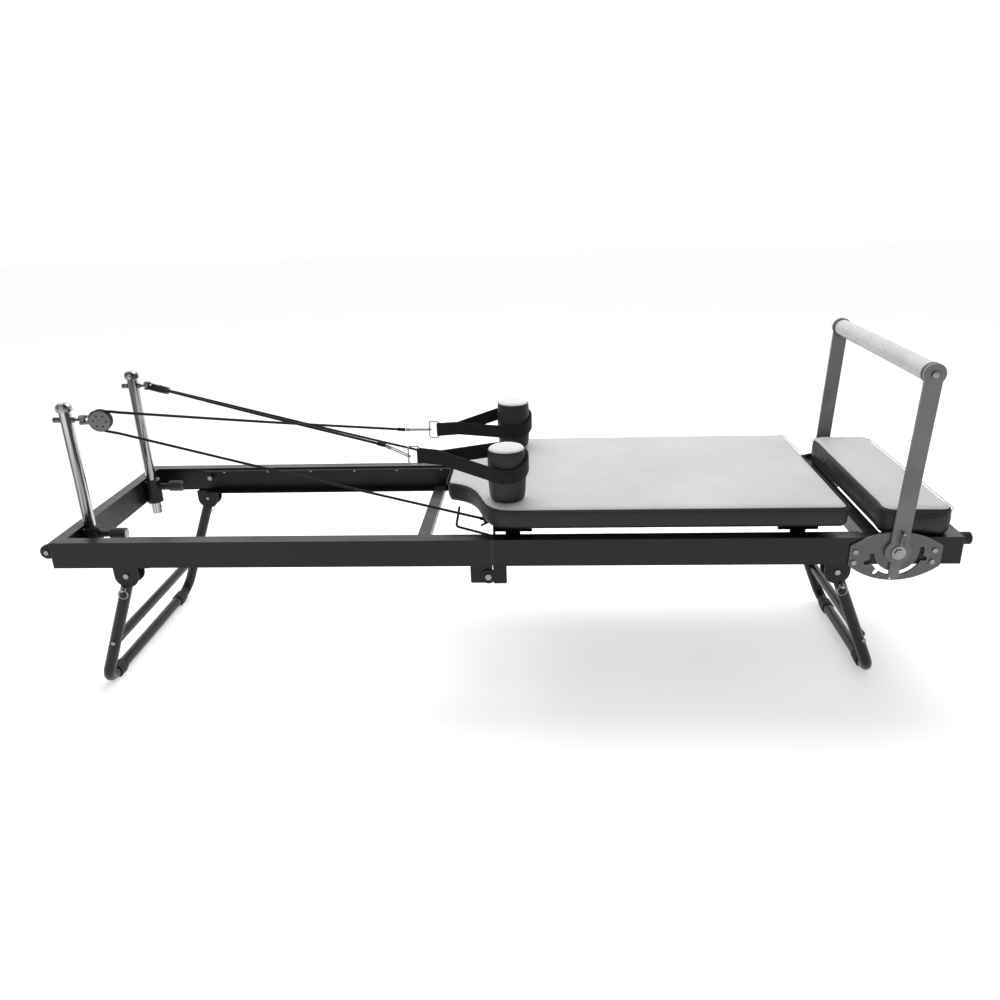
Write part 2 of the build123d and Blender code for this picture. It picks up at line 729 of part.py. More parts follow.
def straps():
    """Webbing loops round the shoulder rests, each with a doubled lead to its ring."""
    with BuildPart() as piece:
        for side_name, side in SIDES.items():
            strap = strap_slopes[side_name]
            with BuildSketch(Plane.XY.offset(500)):
                strap_loop_sketch(strap, side, webbing_thickness / 2, Mode.ADD)
                strap_loop_sketch(strap, side, -webbing_thickness / 2, Mode.SUBTRACT)
                with BuildLine():
                    lead = Line(strap["start"], strap["joint"])
                trace(line_width=2 * webbing_thickness)
            extrude(amount=300)
        keep = None
        for side_name, side in SIDES.items():
            strap = strap_slopes[side_name]
            middle_z = strap["z"] + strap["rise"] * (side * (half_width - 103.0) - strap["y"])
            tilt = degrees(atan(strap["rise"]))
            slab = Box(500, 400, webbing_width, mode=Mode.PRIVATE)
            slab = Location((-50, side * (half_width - 103.0), middle_z), (tilt, 0, 0)) * slab
            keep = slab if keep is None else keep + slab
        add(keep, mode=Mode.INTERSECT)
        for strap in strap_slopes.values():
            x, y, z = strap["ring"]
            fold = (z - webbing_width / 2, z + webbing_width / 2)
            upright(x + ring_size[0] / 2, y, fold, hardware_wire + 0.4 + webbing_thickness)
            upright(x + ring_size[0] / 2, y, fold, hardware_wire + 0.4, Mode.SUBTRACT)
    save(piece, "straps")


def strap_rings():
    """Upright wire rings that the straps fold over."""
    with BuildPart() as piece:
        for strap in strap_slopes.values():
            flat = Plane(strap["ring"], x_dir=(1, 0, 0), z_dir=(0, -1, 0))
            wire_loop(flat, ring_size, ring_corner, hardware_wire)
    save(piece, "strap_rings")


def snap_hooks():
    """Long wire hooks, each with a swivel barrel, that join the rings to the ropes."""
    with BuildPart() as piece:
        for strap in strap_slopes.values():
            x, y, z = strap["ring"]
            wire = Vector(x - ring_size[0] / 2, y, z)
            start = Vector(*strap["hook"])
            along = (wire - start).normalized()
            level = Vector(0, 1, 0) - along * along.Y
            far_end = wire + along * (2 * hardware_wire + 1.2)
            size = (far_end - start).length - 14
            loop = Plane(far_end - along * (size / 2), x_dir=along, z_dir=along.cross(level))
            wire_loop(loop, (size, 14.0), 6.6, hardware_wire)
            with BuildSketch(Plane(start + along * 3.5, z_dir=along)) as barrel:
                Circle(5.5)
            extrude(barrel.sketch, amount=12)
    save(piece, "snap_hooks")


# ---------------------------------------------------------------- carriage

def carriage_outline(inset):
    """Plan of the carriage: a narrow head end that widens to the shoulders."""
    half = half_width - inset
    neck = pad_neck_half - inset
    head, foot = pad_head_x + inset, pad_foot_x - inset
    with BuildLine() as outline:
        for side in SIDES.values():
            Spline((head + 16, side * neck), (-55 + inset, side * (181 - inset)),
                   (pad_shoulder_x + 6, side * half), tangents=((1, side * 0.35), (1, 0)))
            Line((pad_shoulder_x + 6, side * half), (foot - 18, side * half))
            RadiusArc((foot - 18, side * half), (foot, side * (half - 18)), side * 18)
            RadiusArc((head, side * (neck - 16)), (head + 16, side * neck), side * 18)
        Line((head, -(neck - 16)), (head, neck - 16))
        Line((foot, -(half - 18)), (foot, half - 18))
    make_face(outline.edges())


def carriage_pad():
    with BuildPart() as piece:
        with BuildSketch(Plane.XY.offset(pad_bottom)):
            carriage_outline(0.0)
            rest_holes(Mode.SUBTRACT)
        extrude(amount=pad_height)
    save(piece, "carriage_pad")


def rest_holes(mode):
    with Locations(*[(rest_centre[0], side * rest_centre[1]) for side in SIDES.values()]):
        Circle(rest_post_radius + rest_gap, mode=mode)


def carriage_board():
    with BuildPart() as piece:
        with BuildSketch(Plane.XY.offset(board_bottom)):
            carriage_outline(board_inset)
            rest_holes(Mode.SUBTRACT)
        extrude(amount=board_height)
    save(piece, "carriage_board")


def carriage_underframe():
    """Two long bars and three cross bars under the board, with the wheel brackets."""
    low = board_bottom - underframe_height
    y = underframe_half_width
    with BuildPart() as piece:
        pair(underframe_x, (y - underframe_bar / 2, y + underframe_bar / 2), (low, board_bottom))
        for x in (*wheel_stations, middle_bar_x):
            block((x - 20, x + 20), (-y + underframe_bar / 2, y - underframe_bar / 2), (low, board_bottom))
        for x in wheel_stations:
            pair((x - 52, x + 52), (y + underframe_bar / 2, wheel_y[1] - 2), (board_bottom - 5, board_bottom))
            pair((x - 52, x + 52), (wheel_y[0] - 7, wheel_y[0] - 3), (rail_top - 6, board_bottom - 5))
            pair((x - 20, x + 20), (wheel_y[0] - 7, wheel_y[0] - 3), (wheel_z - 12, rail_top - 6))
            for side in SIDES.values():
                cross_rod(x, wheel_z, (side * (wheel_y[0] - 9), side * (wheel_y[0] - 1)),
                          wheel_axle_radius + axle_fit, Mode.SUBTRACT)
        pair((-9, 14), (y + underframe_bar / 2, 226), (rail_top + 2, board_bottom))
    save(piece, "carriage_underframe")


def carriage_pins():
    """Steel posts inside the shoulder rests and the axles of the four wheels."""
    with BuildPart() as piece:
        for side in SIDES.values():
            upright(rest_centre[0], side * rest_centre[1], (board_bottom, pad_top + rest_post_height),
                    rest_post_radius)
            for x in wheel_stations:
                cross_rod(x, wheel_z, (side * (wheel_y[0] - 12), side * (wheel_y[1] + 1.5)),
                          wheel_axle_radius)
                cross_rod(x, wheel_z, (side * (wheel_y[0] - 12), side * (wheel_y[0] - 7.2)), 8.5)
    save(piece, "carriage_pins")


def shoulder_rests():
    """Padded drums, slightly barrelled, that stand on the pad."""
    low, high = pad_top + rest_gap, pad_top + rest_height
    with BuildPart() as piece:
        for side in SIDES.values():
            x, y = rest_centre[0], side * rest_centre[1]
            with BuildSketch(Plane((x, y, 0), x_dir=(1, 0, 0), z_dir=(0, -1, 0))):
                with BuildLine():
                    Line((0, low), (rest_radius - 5, low))
                    ThreePointArc((rest_radius - 5, low), (rest_radius, (low + high) / 2),
                                  (rest_radius - 3, high - 6))
                    Polyline((rest_radius - 3, high - 6), (rest_radius - 9, high), (0, high), (0, low))
                make_face()
            revolve(axis=Axis((x, y, 0), (0, 0, 1)))
            upright(x, y, (low - 5, pad_top + rest_post_height + rest_gap), rest_post_radius + rest_gap,
                    Mode.SUBTRACT)
    save(piece, "shoulder_rests")


def carriage_wheel(name, x, side):
    with BuildPart() as piece:
        cross_rod(x, wheel_z, (side * wheel_y[0], side * wheel_y[1]), wheel_radius)
        fillet(piece.edges().filter_by(GeomType.CIRCLE), wheel_edge)
        cross_rod(x, wheel_z, (side * (wheel_y[0] - 1), side * (wheel_y[1] + 1)),
                  wheel_axle_radius + axle_fit, Mode.SUBTRACT)
    save(piece, name)


def springs():
    """Coil springs under the carriage, their hooks hanging free at the spring bar."""
    with BuildPart() as piece:
        for y in spring_rows:
            long_rod(spring_x, y, spring_z, spring_radius)
            long_rod((spring_x[1], spring_x[1] + 20), y, spring_z, 2.2)
            with Locations(Location((spring_x[1] + 32, y, spring_z), (90, 0, 0))):
                Torus(hook_radius, hook_wire)
        reach = spring_rows[-1] + 15
        block(spring_holder, (-reach, reach), (spring_z - spring_radius, spring_z + spring_radius))
    save(piece, "springs")


def grip_rod():
    """A bent rod under the head end of the carriage that parks the ropes."""
    start_y, bend_y, end_y = (-underframe_half_width + inset for inset in (34.0, -4.0, -6.0))
    points = ((-100, start_y, board_bottom), (-107.5, bend_y, rail_top - 18.5),
              (-2, end_y, rail_top - 49), (-2, end_y, rail_top - 3))
    with BuildPart() as piece:
        with BuildLine() as path:
            FilletPolyline(*points, radius=[8, 6])
        with BuildSketch(Plane(path.line @ 0, z_dir=path.line % 0)):
            Circle(grip_rod_radius)
        sweep(path=path.line)
    save(piece, "carriage_rod")


# ---------------------------------------------------------------- foot platform and footbar

def foot_pad():
    with BuildPart() as piece:
        with BuildSketch(Plane.XY.offset(foot_board_top)):
            with Locations((sum(foot_pad_x) / 2, 0)):
                RectangleRounded(foot_pad_x[1] - foot_pad_x[0], width, foot_pad_corner)
        extrude(amount=foot_pad_height)
    save(piece, "foot_pad")


def foot_board():
    with BuildPart() as piece:
        block(foot_board_x, (-foot_board_half, foot_board_half), (rail_top, foot_board_top))
        fillet(piece.edges().filter_by(Axis.Z), 20.0)
    save(piece, "foot_board")


def arm_point(distance):
    """A point on the arm's middle line, that far up from the pivot."""
    tilt = radians(arm_tilt)
    return bar_pivot[0] + distance * sin(tilt), bar_pivot[1] + distance * cos(tilt)


def footbar_hub():
    """Bushes on the pivot bolts that the arms turn on, with their flanges."""
    with BuildPart() as piece:
        for side in SIDES.values():
            cross_rod(*bar_pivot, (side * (arm_y[0] - 0.3), side * (arm_y[1] + 0.5)), bush_radius)
            cross_rod(*bar_pivot, (side * (arm_y[1] + 0.5), side * (arm_y[1] + 4)), flange_radius)
            cross_rod(*bar_pivot, (side * (arm_y[0] - 2), side * (arm_y[1] + 6)), bolt_radius + 0.15,
                      Mode.SUBTRACT)
    save(piece, "footbar_hub")


def footbar_arms():
    """Flat arms, slotted over the bushes so that the bar lifts out of its notch."""
    tail = arm_point(-tail_radius)
    end = arm_point(arm_length)
    with BuildPart() as piece:
        for side in SIDES.values():
            with BuildSketch(side_plane(side * sum(arm_y) / 2)):
                with Locations(Location(arm_point(arm_length / 2), 90 - arm_tilt)):
                    Rectangle(arm_length, arm_width)
                with Locations(bar_pivot):
                    Circle(arm_hub_radius)
                with Locations(end):
                    Circle(ring_plug_radius)
                with Locations(Location(arm_point(-tail_radius / 2), 90 - arm_tilt)):
                    SlotCenterToCenter(tail_radius, tail_width)
                with Locations(Location(arm_point(-lift_travel / 2 + 0.2), 90 - arm_tilt)):
                    SlotCenterToCenter(lift_travel + 0.4, 2 * bush_radius + 0.4, mode=Mode.SUBTRACT)
            extrude(amount=arm_sheet / 2, both=True)
            cross_rod(*tail, (side * (half_width + 0.6), side * arm_y[0]), tail_pin_radius)
            cross_rod(*end, (side * (arm_y[0] - 2), side * (arm_y[1] + 2)), 6.2, Mode.SUBTRACT)
    save(piece, "footbar_arms")


def footbar_tube():
    end = arm_point(arm_length)
    with BuildPart() as piece:
        cross_rod(*end, (-bar_half_length, bar_half_length), bar_radius)
        cross_rod(*end, (-bar_half_length - 1, bar_half_length + 1), bar_radius - bar_wall,
                  Mode.SUBTRACT)
    save(piece, "footbar_tube")


def footbar_rings():
    """Black end plugs of the bar, each with a shoulder and a bolt through the arm."""
    end = arm_point(arm_length)
    with BuildPart() as piece:
        for side in SIDES.values():
            cross_rod(*end, (side * bar_half_length, side * arm_y[0]), ring_plug_radius)
            cross_rod(*end, (side * (bar_half_length - 25), side * bar_half_length), bar_radius - bar_wall)
            cross_rod(*end, (side * arm_y[0], side * (arm_y[1] + 0.5)), 6.0)
            cross_rod(*end, (side * (arm_y[1] + 0.2), side * (arm_y[1] + 4)), 9.0)
    save(piece, "footbar_rings")


def footbar_springs():
    """Short coil springs that pull the arms down into their notches, on studs in the arms."""
    with BuildPart() as piece:
        low = arm_point(coil_reach[0])
        axis = (sin(radians(arm_tilt)), 0, cos(radians(arm_tilt)))
        for side in SIDES.values():
            y = side * (arm_y[1] + coil_offset)
            with BuildSketch(Plane((low[0], y, low[1]), z_dir=axis)):
                Circle(coil_radius)
            extrude(amount=coil_reach[1] - coil_reach[0])
            cross_rod(*arm_point(stud_reach), (side * arm_y[1], side * (arm_y[1] + 18)), 4.0)
    save(piece, "footbar_springs")


def main():
    os.makedirs("parts", exist_ok=True)
    seam = seam_gap / 2
    rails("head_rails", (-half_length + cap_thickness, -seam - cap_thickness))
    holes = [(x, z, bolt_hole) for x, z in quadrant_bolts] + [(*bar_pivot, bolt_radius + 0.2)]
    rails("foot_rails", (seam + cap_thickness, half_length - cap_thickness), holes)
    rail_caps("head_rail_caps", ((-half_length, -half_length + cap_thickness, True),
                                 (-seam, -seam - cap_thickness, False)))
    rail_caps("foot_rail_caps", ((half_length, half_length - cap_thickness, False),
                                 (seam, seam + cap_thickness, False)))
    head_cross_members()
    foot_cross_members()
    tracks("head_tracks", (head_track_start, -seam))
    tracks("foot_tracks", (seam, foot_track_end))
    leg_brackets("head_leg_brackets", head_leg)
    leg_brackets("foot_leg_brackets", foot_leg)
    hinge_plates("head_hinge_plates", head_ear, head_ear_x, hinge_pin_radius)
    hinge_plates("foot_hinge_plates", foot_ear, foot_ear_x, hinge_pin_radius)
    post_sockets()
    head_bolts()
    foot_bolts()
    end_bumpers()
    footbar_quadrants()
    leg_frame("head_leg_frame", head_leg)
    leg_frame("foot_leg_frame", foot_leg)
    leg_feet("head_leg_feet", head_leg)
    leg_feet("foot_leg_feet", foot_leg)
    for side_name, side in SIDES.items():
        transport_wheel(f"transport_wheel_{side_name}", side)
        leg_lock(f"head_leg_lock_{side_name}", head_leg, side)
        leg_lock(f"foot_leg_lock_{side_name}", foot_leg, side)
        post(f"post_{side_name}", side)
        pop_pin(f"pop_pin_{side_name}", side)
        eye_bolt(f"eye_bolt_{side_name}", side)
        pulley_block(f"pulley_block_{side_name}", side_name)
        sheave(f"sheave_{side_name}", side_name)
        rope(f"rope_{side_name}")
        for place, x in zip(("head", "foot"), wheel_stations):
            carriage_wheel(f"{place}_wheel_{side_name}", x, side)
    carriage_pad()
    carriage_board()
    carriage_underframe()
    carriage_pins()
    shoulder_rests()
    straps()
    strap_rings()
    snap_hooks()
    springs()
    grip_rod()
    foot_pad()
    foot_board()
    footbar_hub()
    footbar_arms()
    footbar_tube()
    footbar_rings()
    footbar_springs()


main()
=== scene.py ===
from math import atan2, ceil, cos, hypot, pi, radians, sin, sqrt

import bmesh
import bpy
from mathutils import Matrix, Vector


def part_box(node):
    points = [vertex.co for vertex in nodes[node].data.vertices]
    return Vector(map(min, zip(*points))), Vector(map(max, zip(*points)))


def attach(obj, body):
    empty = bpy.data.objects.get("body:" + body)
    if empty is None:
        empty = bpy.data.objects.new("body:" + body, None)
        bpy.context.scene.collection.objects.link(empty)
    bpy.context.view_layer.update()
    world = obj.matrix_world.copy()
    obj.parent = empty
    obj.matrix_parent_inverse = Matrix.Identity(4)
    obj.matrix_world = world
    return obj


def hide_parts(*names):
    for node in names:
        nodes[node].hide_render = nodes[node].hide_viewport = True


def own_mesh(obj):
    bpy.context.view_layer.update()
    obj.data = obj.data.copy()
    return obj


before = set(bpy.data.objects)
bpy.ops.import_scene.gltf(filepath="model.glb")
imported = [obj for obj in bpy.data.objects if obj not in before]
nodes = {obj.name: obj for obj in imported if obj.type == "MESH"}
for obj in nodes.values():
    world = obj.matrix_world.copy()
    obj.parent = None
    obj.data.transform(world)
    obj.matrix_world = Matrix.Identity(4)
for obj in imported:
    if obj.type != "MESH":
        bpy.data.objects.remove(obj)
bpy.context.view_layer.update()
SIDES = {"right": -1, "left": 1}

# ---------------------------------------------------------------- places and sizes, in metres

rest_place = (0.041, 0.237)  # X, and Y to either side, of a shoulder rest's axis
rest_hole = 0.02  # the pad's holes for the rests' posts lie within this of the axis
swell_room = 0.002  # a pad starts this far inside its outline, and the cloth swells to fill it

# joint is where a loop's two runs meet, and start is the end of the lead, at the ring. The band's
# middle is z high at y, and climbs by rise for each metre of Y.
strap_facts = {
    "right": {"joint": (-0.138, -0.215), "start": (-0.184, -0.207), "z": 0.636, "y": -0.293, "rise": 0.393},
    "left": {"joint": (-0.138, 0.205), "start": (-0.184, 0.201), "z": 0.617, "y": 0.185, "rise": 0.38},
}
loop_radius = 0.0563  # the band's middle line round a rest
ring_x = -0.1935  # the ring's bar that the lead folds round
fold_radius = 0.0048
lead_gap = 0.0030  # from the lead's middle plane to each of its two layers
joint_gap = 0.0026

# A rope runs from its anchor under the carriage to the pulley, round it, and back to the strap's hook.
rope_routes = {
    "right": {"anchor": (-0.012, -0.215, 0.485),
              "wrap": ((-1.0229, -0.178, 0.7366), (-1.0817, -0.1916, 0.752), (-1.0906, -0.1936, 0.7831),
                       (-1.069, -0.1887, 0.8069), (-1.0098, -0.175, 0.7936)),
              "hook": (-0.300, 0.200, 0.624)},
    "left": {"anchor": (-0.012, 0.215, 0.485),
             "wrap": ((-1.0300, 0.2137, 0.7561), (-1.0754, 0.2136, 0.7679), (-1.0902, 0.1932, 0.7786),
                      (-1.0824, 0.1677, 0.7847), (-1.0400, 0.1481, 0.7801)),
             "hook": (-0.285, -0.200, 0.698)},
}
rope_radius = 0.0039
rope_sag = 0.0025

spring_rows = (-0.135, -0.065, 0.0, 0.065, 0.135)
spring_height = 0.483
arm_pivot = (1.035, 0, 0.437)
arm_tilt = radians(2.7)
track_web = (0.2865, 0.4610)  # Y to either side, and Z, of the line of rivets
track_rivets = {"head": (-0.939, -0.791, -0.643, -0.496, -0.353, -0.205),
                "foot": (0.15, 0.33, 0.51, 0.69, 0.87)}
leg_braces = {"head": (-1.088, 0.1565, 0.312), "foot": (1.019, 0.128, 0.247)}  # X, Z and half the width


# ---------------------------------------------------------------- camera, light and floor

def place_camera():
    """A camera at the working view, turned by yaw, pitch and roll."""
    yaw, pitch, roll = radians(-3.64), radians(21.14), radians(-1.89)
    forward = Vector((sin(yaw) * cos(pitch), cos(yaw) * cos(pitch), -sin(pitch)))
    level = Vector((cos(yaw), -sin(yaw), 0))
    above = level.cross(forward)
    right = level * cos(roll) + above * sin(roll)
    up = above * cos(roll) - level * sin(roll)
    data = bpy.data.cameras.new("camera")
    data.lens = 30.0
    data.sensor_width = 36.0
    camera = bpy.data.objects.new("camera", data)
    bpy.context.scene.collection.objects.link(camera)
    turn = Matrix((right, up, -forward)).transposed().to_4x4()
    camera.matrix_world = Matrix.Translation((0.1521, -2.3103, 1.3555)) @ turn
    bpy.context.scene.camera = camera


def area_light(name, place, target, size, power):
    """A soft rectangular light that points at its target."""
    data = bpy.data.lights.new(name, "AREA")
    data.shape = "RECTANGLE"
    data.size, data.size_y = size
    data.energy = power
    light = bpy.data.objects.new(name, data)
    bpy.context.scene.collection.objects.link(light)
    aim = Vector(target) - Vector(place)
    turn = aim.to_track_quat("-Z", "Y").to_matrix().to_4x4()
    light.matrix_world = Matrix.Translation(place) @ turn


def light_studio():
    """Two soft lights in a pale room, whose far side is brighter, before a white backdrop."""
    area_light("overhead_light", (0.2, 1.2, 3.2), (0, 0.1, 0.4), (4.0, 2.0), 82)
    area_light("front_light", (-1.2, -3.4, 2.4), (0, 0, 0.4), (2.4, 1.6), 12)
    world = bpy.data.worlds.new("studio")
    bpy.context.scene.world = world
    world.use_nodes = True
    nodes_of, links = world.node_tree.nodes, world.node_tree.links
    where = nodes_of.new("ShaderNodeTexCoord")
    split = nodes_of.new("ShaderNodeSeparateXYZ")
    links.new(where.outputs["Generated"], split.inputs["Vector"])
    backdrop = nodes_of.new("ShaderNodeMapRange")
    for name, value in (("From Min", 0.35), ("From Max", 0.95), ("To Min", 0.46), ("To Max", 1.6)):
        backdrop.inputs[name].default_value = value
    links.new(split.outputs["Y"], backdrop.inputs["Value"])
    links.new(backdrop.outputs["Result"], nodes_of["Background"].inputs["Strength"])
    nodes_of["Background"].inputs["Color"].default_value = (1, 1, 1, 1)
    seen = nodes_of.new("ShaderNodeBackground")
    seen.inputs["Color"].default_value = (1, 1, 1, 1)
    path, mix = nodes_of.new("ShaderNodeLightPath"), nodes_of.new("ShaderNodeMixShader")
    links.new(path.outputs["Is Camera Ray"], mix.inputs["Fac"])
    links.new(nodes_of["Background"].outputs["Background"], mix.inputs[1])
    links.new(seen.outputs["Background"], mix.inputs[2])
    links.new(mix.outputs["Shader"], nodes_of["World Output"].inputs["Surface"])
    bpy.context.scene.view_settings.view_transform = "Standard"


def lay_floor():
    """A wide pale floor under the part."""
    bm = bmesh.new()
    bmesh.ops.create_grid(bm, x_segments=1, y_segments=1, size=14.0)
    floor = new_piece("floor", bm, floor_paint())


# ---------------------------------------------------------------- building blocks

def new_piece(name, bm, *materials, smooth=True):
    """A finished mesh object from a bmesh, at the origin."""
    mesh = bpy.data.meshes.new(name)
    bm.to_mesh(mesh)
    bm.free()
    for material in materials:
        mesh.materials.append(material)
    for face in mesh.polygons:
        face.use_smooth = smooth
    piece = bpy.data.objects.new(name, mesh)
    bpy.context.scene.collection.objects.link(piece)
    return piece


def tube_along(points, radius, closed=False, sides=12, order=3, steps=8):
    """A temporary bmesh of a round tube along a smooth line through control points."""
    curve = bpy.data.curves.new("tube", "CURVE")
    curve.dimensions = "3D"
    curve.bevel_depth = radius
    curve.bevel_resolution = max(1, sides // 4 - 1)
    curve.use_fill_caps = not closed
    spline = curve.splines.new("NURBS")
    spline.points.add(len(points) - 1)
    for control, point in zip(spline.points, points):
        control.co = (*point, 1.0)
    spline.order_u = min(order, len(points))
    spline.use_endpoint_u = not closed
    spline.use_cyclic_u = closed
    spline.resolution_u = steps
    holder = bpy.data.objects.new("tube", curve)
    mesh = bpy.data.meshes.new_from_object(holder)
    bm = bmesh.new()
    bm.from_mesh(mesh)
    bmesh.ops.remove_doubles(bm, verts=bm.verts, dist=1e-6)
    bmesh.ops.recalc_face_normals(bm, faces=bm.faces)
    bpy.data.objects.remove(holder)
    bpy.data.curves.remove(curve)
    bpy.data.meshes.remove(mesh)
    return bm


def merge(target, source):
    """Adds one bmesh to another and frees it."""
    mesh = bpy.data.meshes.new("part")
    source.to_mesh(mesh)
    source.free()
    target.from_mesh(mesh)
    bpy.data.meshes.remove(mesh)


def helix(centre, axis, radius, length, turns, wire, per_turn=10):
    """A coil of wire about an axis through its start, with so many points in each turn."""
    axis = Vector(axis).normalized()
    side = axis.orthogonal().normalized()
    other = axis.cross(side)
    count = int(turns * per_turn)
    points = []
    for step in range(count + 1):
        angle = 2 * pi * step / per_turn
        along = axis * (length * step / count)
        points.append(Vector(centre) + along + (side * cos(angle) + other * sin(angle)) * radius)
    return tube_along(points, wire, sides=8, steps=2)


def disc(centre, axis, radius, height, bevel, segments=24):
    """A round button with a bevelled outer rim, standing on a point along an axis."""
    bm = bmesh.new()
    bmesh.ops.create_cone(bm, cap_ends=True, segments=segments, radius1=radius, radius2=radius,
                          depth=height)
    top = [edge for edge in bm.edges if all(v.co.z > 0 for v in edge.verts)]
    bmesh.ops.bevel(bm, geom=top, offset=bevel, offset_type="OFFSET", segments=3, profile=0.5,
                    affect="EDGES", material=-1)
    turn = Vector(axis).to_track_quat("Z", "Y").to_matrix().to_4x4()
    place = Matrix.Translation(Vector(centre) + Vector(axis).normalized() * (height / 2))
    bmesh.ops.transform(bm, matrix=place @ turn, verts=bm.verts)
    return bm


# ---------------------------------------------------------------- materials

def new_material(name, colour, roughness, metallic=0.0, specular=0.5):
    """A plain material and its shader."""
    material = bpy.data.materials.new(name)
    material.use_nodes = True
    shader = material.node_tree.nodes["Principled BSDF"]
    shader.inputs["Base Color"].default_value = (*colour, 1)
    shader.inputs["Roughness"].default_value = roughness
    shader.inputs["Metallic"].default_value = metallic
    shader.inputs["Specular IOR Level"].default_value = specular
    return material, shader


def add_node(material, kind, **inputs):
    """A shader node with some inputs set; an underscore in a name stands for a space."""
    node = material.node_tree.nodes.new(kind)
    for name, value in inputs.items():
        node.inputs[name.replace("_", " ")].default_value = value
    return node


def object_coordinates(material, scale=(1, 1, 1), turn=(0, 0, 0)):
    """The piece's own coordinates, scaled and turned."""
    where = material.node_tree.nodes.new("ShaderNodeTexCoord")
    mapping = material.node_tree.nodes.new("ShaderNodeMapping")
    mapping.inputs["Scale"].default_value = scale
    mapping.inputs["Rotation"].default_value = turn
    material.node_tree.links.new(where.outputs["Object"], mapping.inputs["Vector"])
    return mapping.outputs["Vector"]


def pattern(material, kind, vector, **inputs):
    """A texture node laid out by a vector."""
    node = add_node(material, kind, **inputs)
    material.node_tree.links.new(vector, node.inputs["Vector"])
    return node


def add_bump(material, shader, height, strength, distance):
    """Adds a height to the shader's normal, on top of any bump already there."""
    links = material.node_tree.links
    bump = add_node(material, "ShaderNodeBump", Strength=strength, Distance=distance)
    links.new(height, bump.inputs["Height"])
    before = shader.inputs["Normal"].links
    if before:
        links.new(before[0].from_socket, bump.inputs["Normal"])
    links.new(bump.outputs["Normal"], shader.inputs["Normal"])


def colour_mix(material, factor):
    """A mix of two colours by a factor: its two colour inputs, and its output."""
    mix = material.node_tree.nodes.new("ShaderNodeMix")
    mix.data_type = "RGBA"
    material.node_tree.links.new(factor, mix.inputs["Factor"])
    ends = [socket for socket in mix.inputs if socket.type == "RGBA"]
    return ends, [socket for socket in mix.outputs if socket.type == "RGBA"][0]


def vary(material, shader, socket, factor, low, high, start=0.3, end=0.7):
    """Drives a colour or a value between two ends by a pattern."""
    links = material.node_tree.links
    ramp = add_node(material, "ShaderNodeMapRange", From_Min=start, From_Max=end)
    links.new(factor, ramp.inputs["Value"])
    output = ramp.outputs["Result"]
    if isinstance(low, tuple):
        ends, output = colour_mix(material, output)
        ends[0].default_value = (*low, 1)
        ends[1].default_value = (*high, 1)
    else:
        ramp.inputs["To Min"].default_value = low
        ramp.inputs["To Max"].default_value = high
    links.new(output, shader.inputs[socket])
    return output


def grey(value):
    """A neutral grey, very slightly cool."""
    return (value, value, value * 1.02)


def powder_coat(name, value, roughness=0.42):
    """Satin paint with a fine orange peel, faint cloudiness and rubbed spots."""
    material, shader = new_material(name, grey(value), roughness, specular=0.28)
    where = object_coordinates(material)
    clouds = pattern(material, "ShaderNodeTexNoise", where, Scale=9.0, Detail=6.0)
    vary(material, shader, "Base Color", clouds.outputs["Fac"], grey(value * 0.86), grey(value * 1.16))
    drawn_out = object_coordinates(material, (2, 9, 9))
    smears = pattern(material, "ShaderNodeTexNoise", drawn_out, Scale=3.0, Detail=8.0)
    vary(material, shader, "Roughness", smears.outputs["Fac"], roughness - 0.07, roughness + 0.1)
    peel = pattern(material, "ShaderNodeTexNoise", where, Scale=900.0, Detail=2.0)
    add_bump(material, shader, peel.outputs["Fac"], 0.18, 0.0004)
    return material


def hammered_paint():
    """Silver hammer-finish paint: shallow round dimples with darker edges."""
    material, shader = new_material("hammered_silver", grey(0.1), 0.36, metallic=0.7)
    where = object_coordinates(material)
    dimples = pattern(material, "ShaderNodeTexVoronoi", where, Scale=330.0)
    dimples.feature = "SMOOTH_F1"
    vary(material, shader, "Base Color", dimples.outputs["Distance"], grey(0.125), grey(0.085), 0.1,
         0.8)
    add_bump(material, shader, dimples.outputs["Distance"], 0.3, 0.0008)
    cloud = pattern(material, "ShaderNodeTexNoise", where, Scale=40.0, Detail=4.0)
    vary(material, shader, "Roughness", cloud.outputs["Fac"], 0.28, 0.46)
    return material


def bright_metal(name, value, roughness, brushed=(1, 1, 1), metallic=1.0):
    """Plated or bare metal, with drawn or brushed lines along one direction."""
    material, shader = new_material(name, grey(value), roughness, metallic=metallic)
    along = object_coordinates(material, brushed)
    lines = pattern(material, "ShaderNodeTexNoise", along, Scale=260.0, Detail=4.0)
    vary(material, shader, "Roughness", lines.outputs["Fac"], roughness * 0.75, roughness * 1.5 + 0.02)
    cloud = pattern(material, "ShaderNodeTexNoise", object_coordinates(material), Scale=14.0, Detail=5.0)
    vary(material, shader, "Base Color", cloud.outputs["Fac"], grey(value * 0.88),
         grey(min(1, value * 1.08)))
    add_bump(material, shader, lines.outputs["Fac"], 0.06, 0.0003)
    return material


def chrome_with_painted_reflections():
    """Polished tube: long dark and light reflections painted into its colour, drawn out along its length.
    """
    material, shader = new_material("post_chrome", grey(0.4), 0.14, metallic=1.0)
    drawn_out = object_coordinates(material, (1, 1, 0.02))
    painted_reflection_streaks = pattern(material, "ShaderNodeTexNoise", drawn_out, Scale=95.0, Detail=3.0)
    # Painted reflections: the base colour swings from dark to light in long streaks along the tube.
    vary(material, shader, "Base Color", painted_reflection_streaks.outputs["Fac"], grey(0.045), grey(0.55), 0.38, 0.62)
    marks = pattern(material, "ShaderNodeTexNoise", object_coordinates(material), Scale=120.0, Detail=5.0)
    vary(material, shader, "Roughness", marks.outputs["Fac"], 0.1, 0.2)
    add_bump(material, shader, marks.outputs["Fac"], 0.04, 0.0003)
    return material


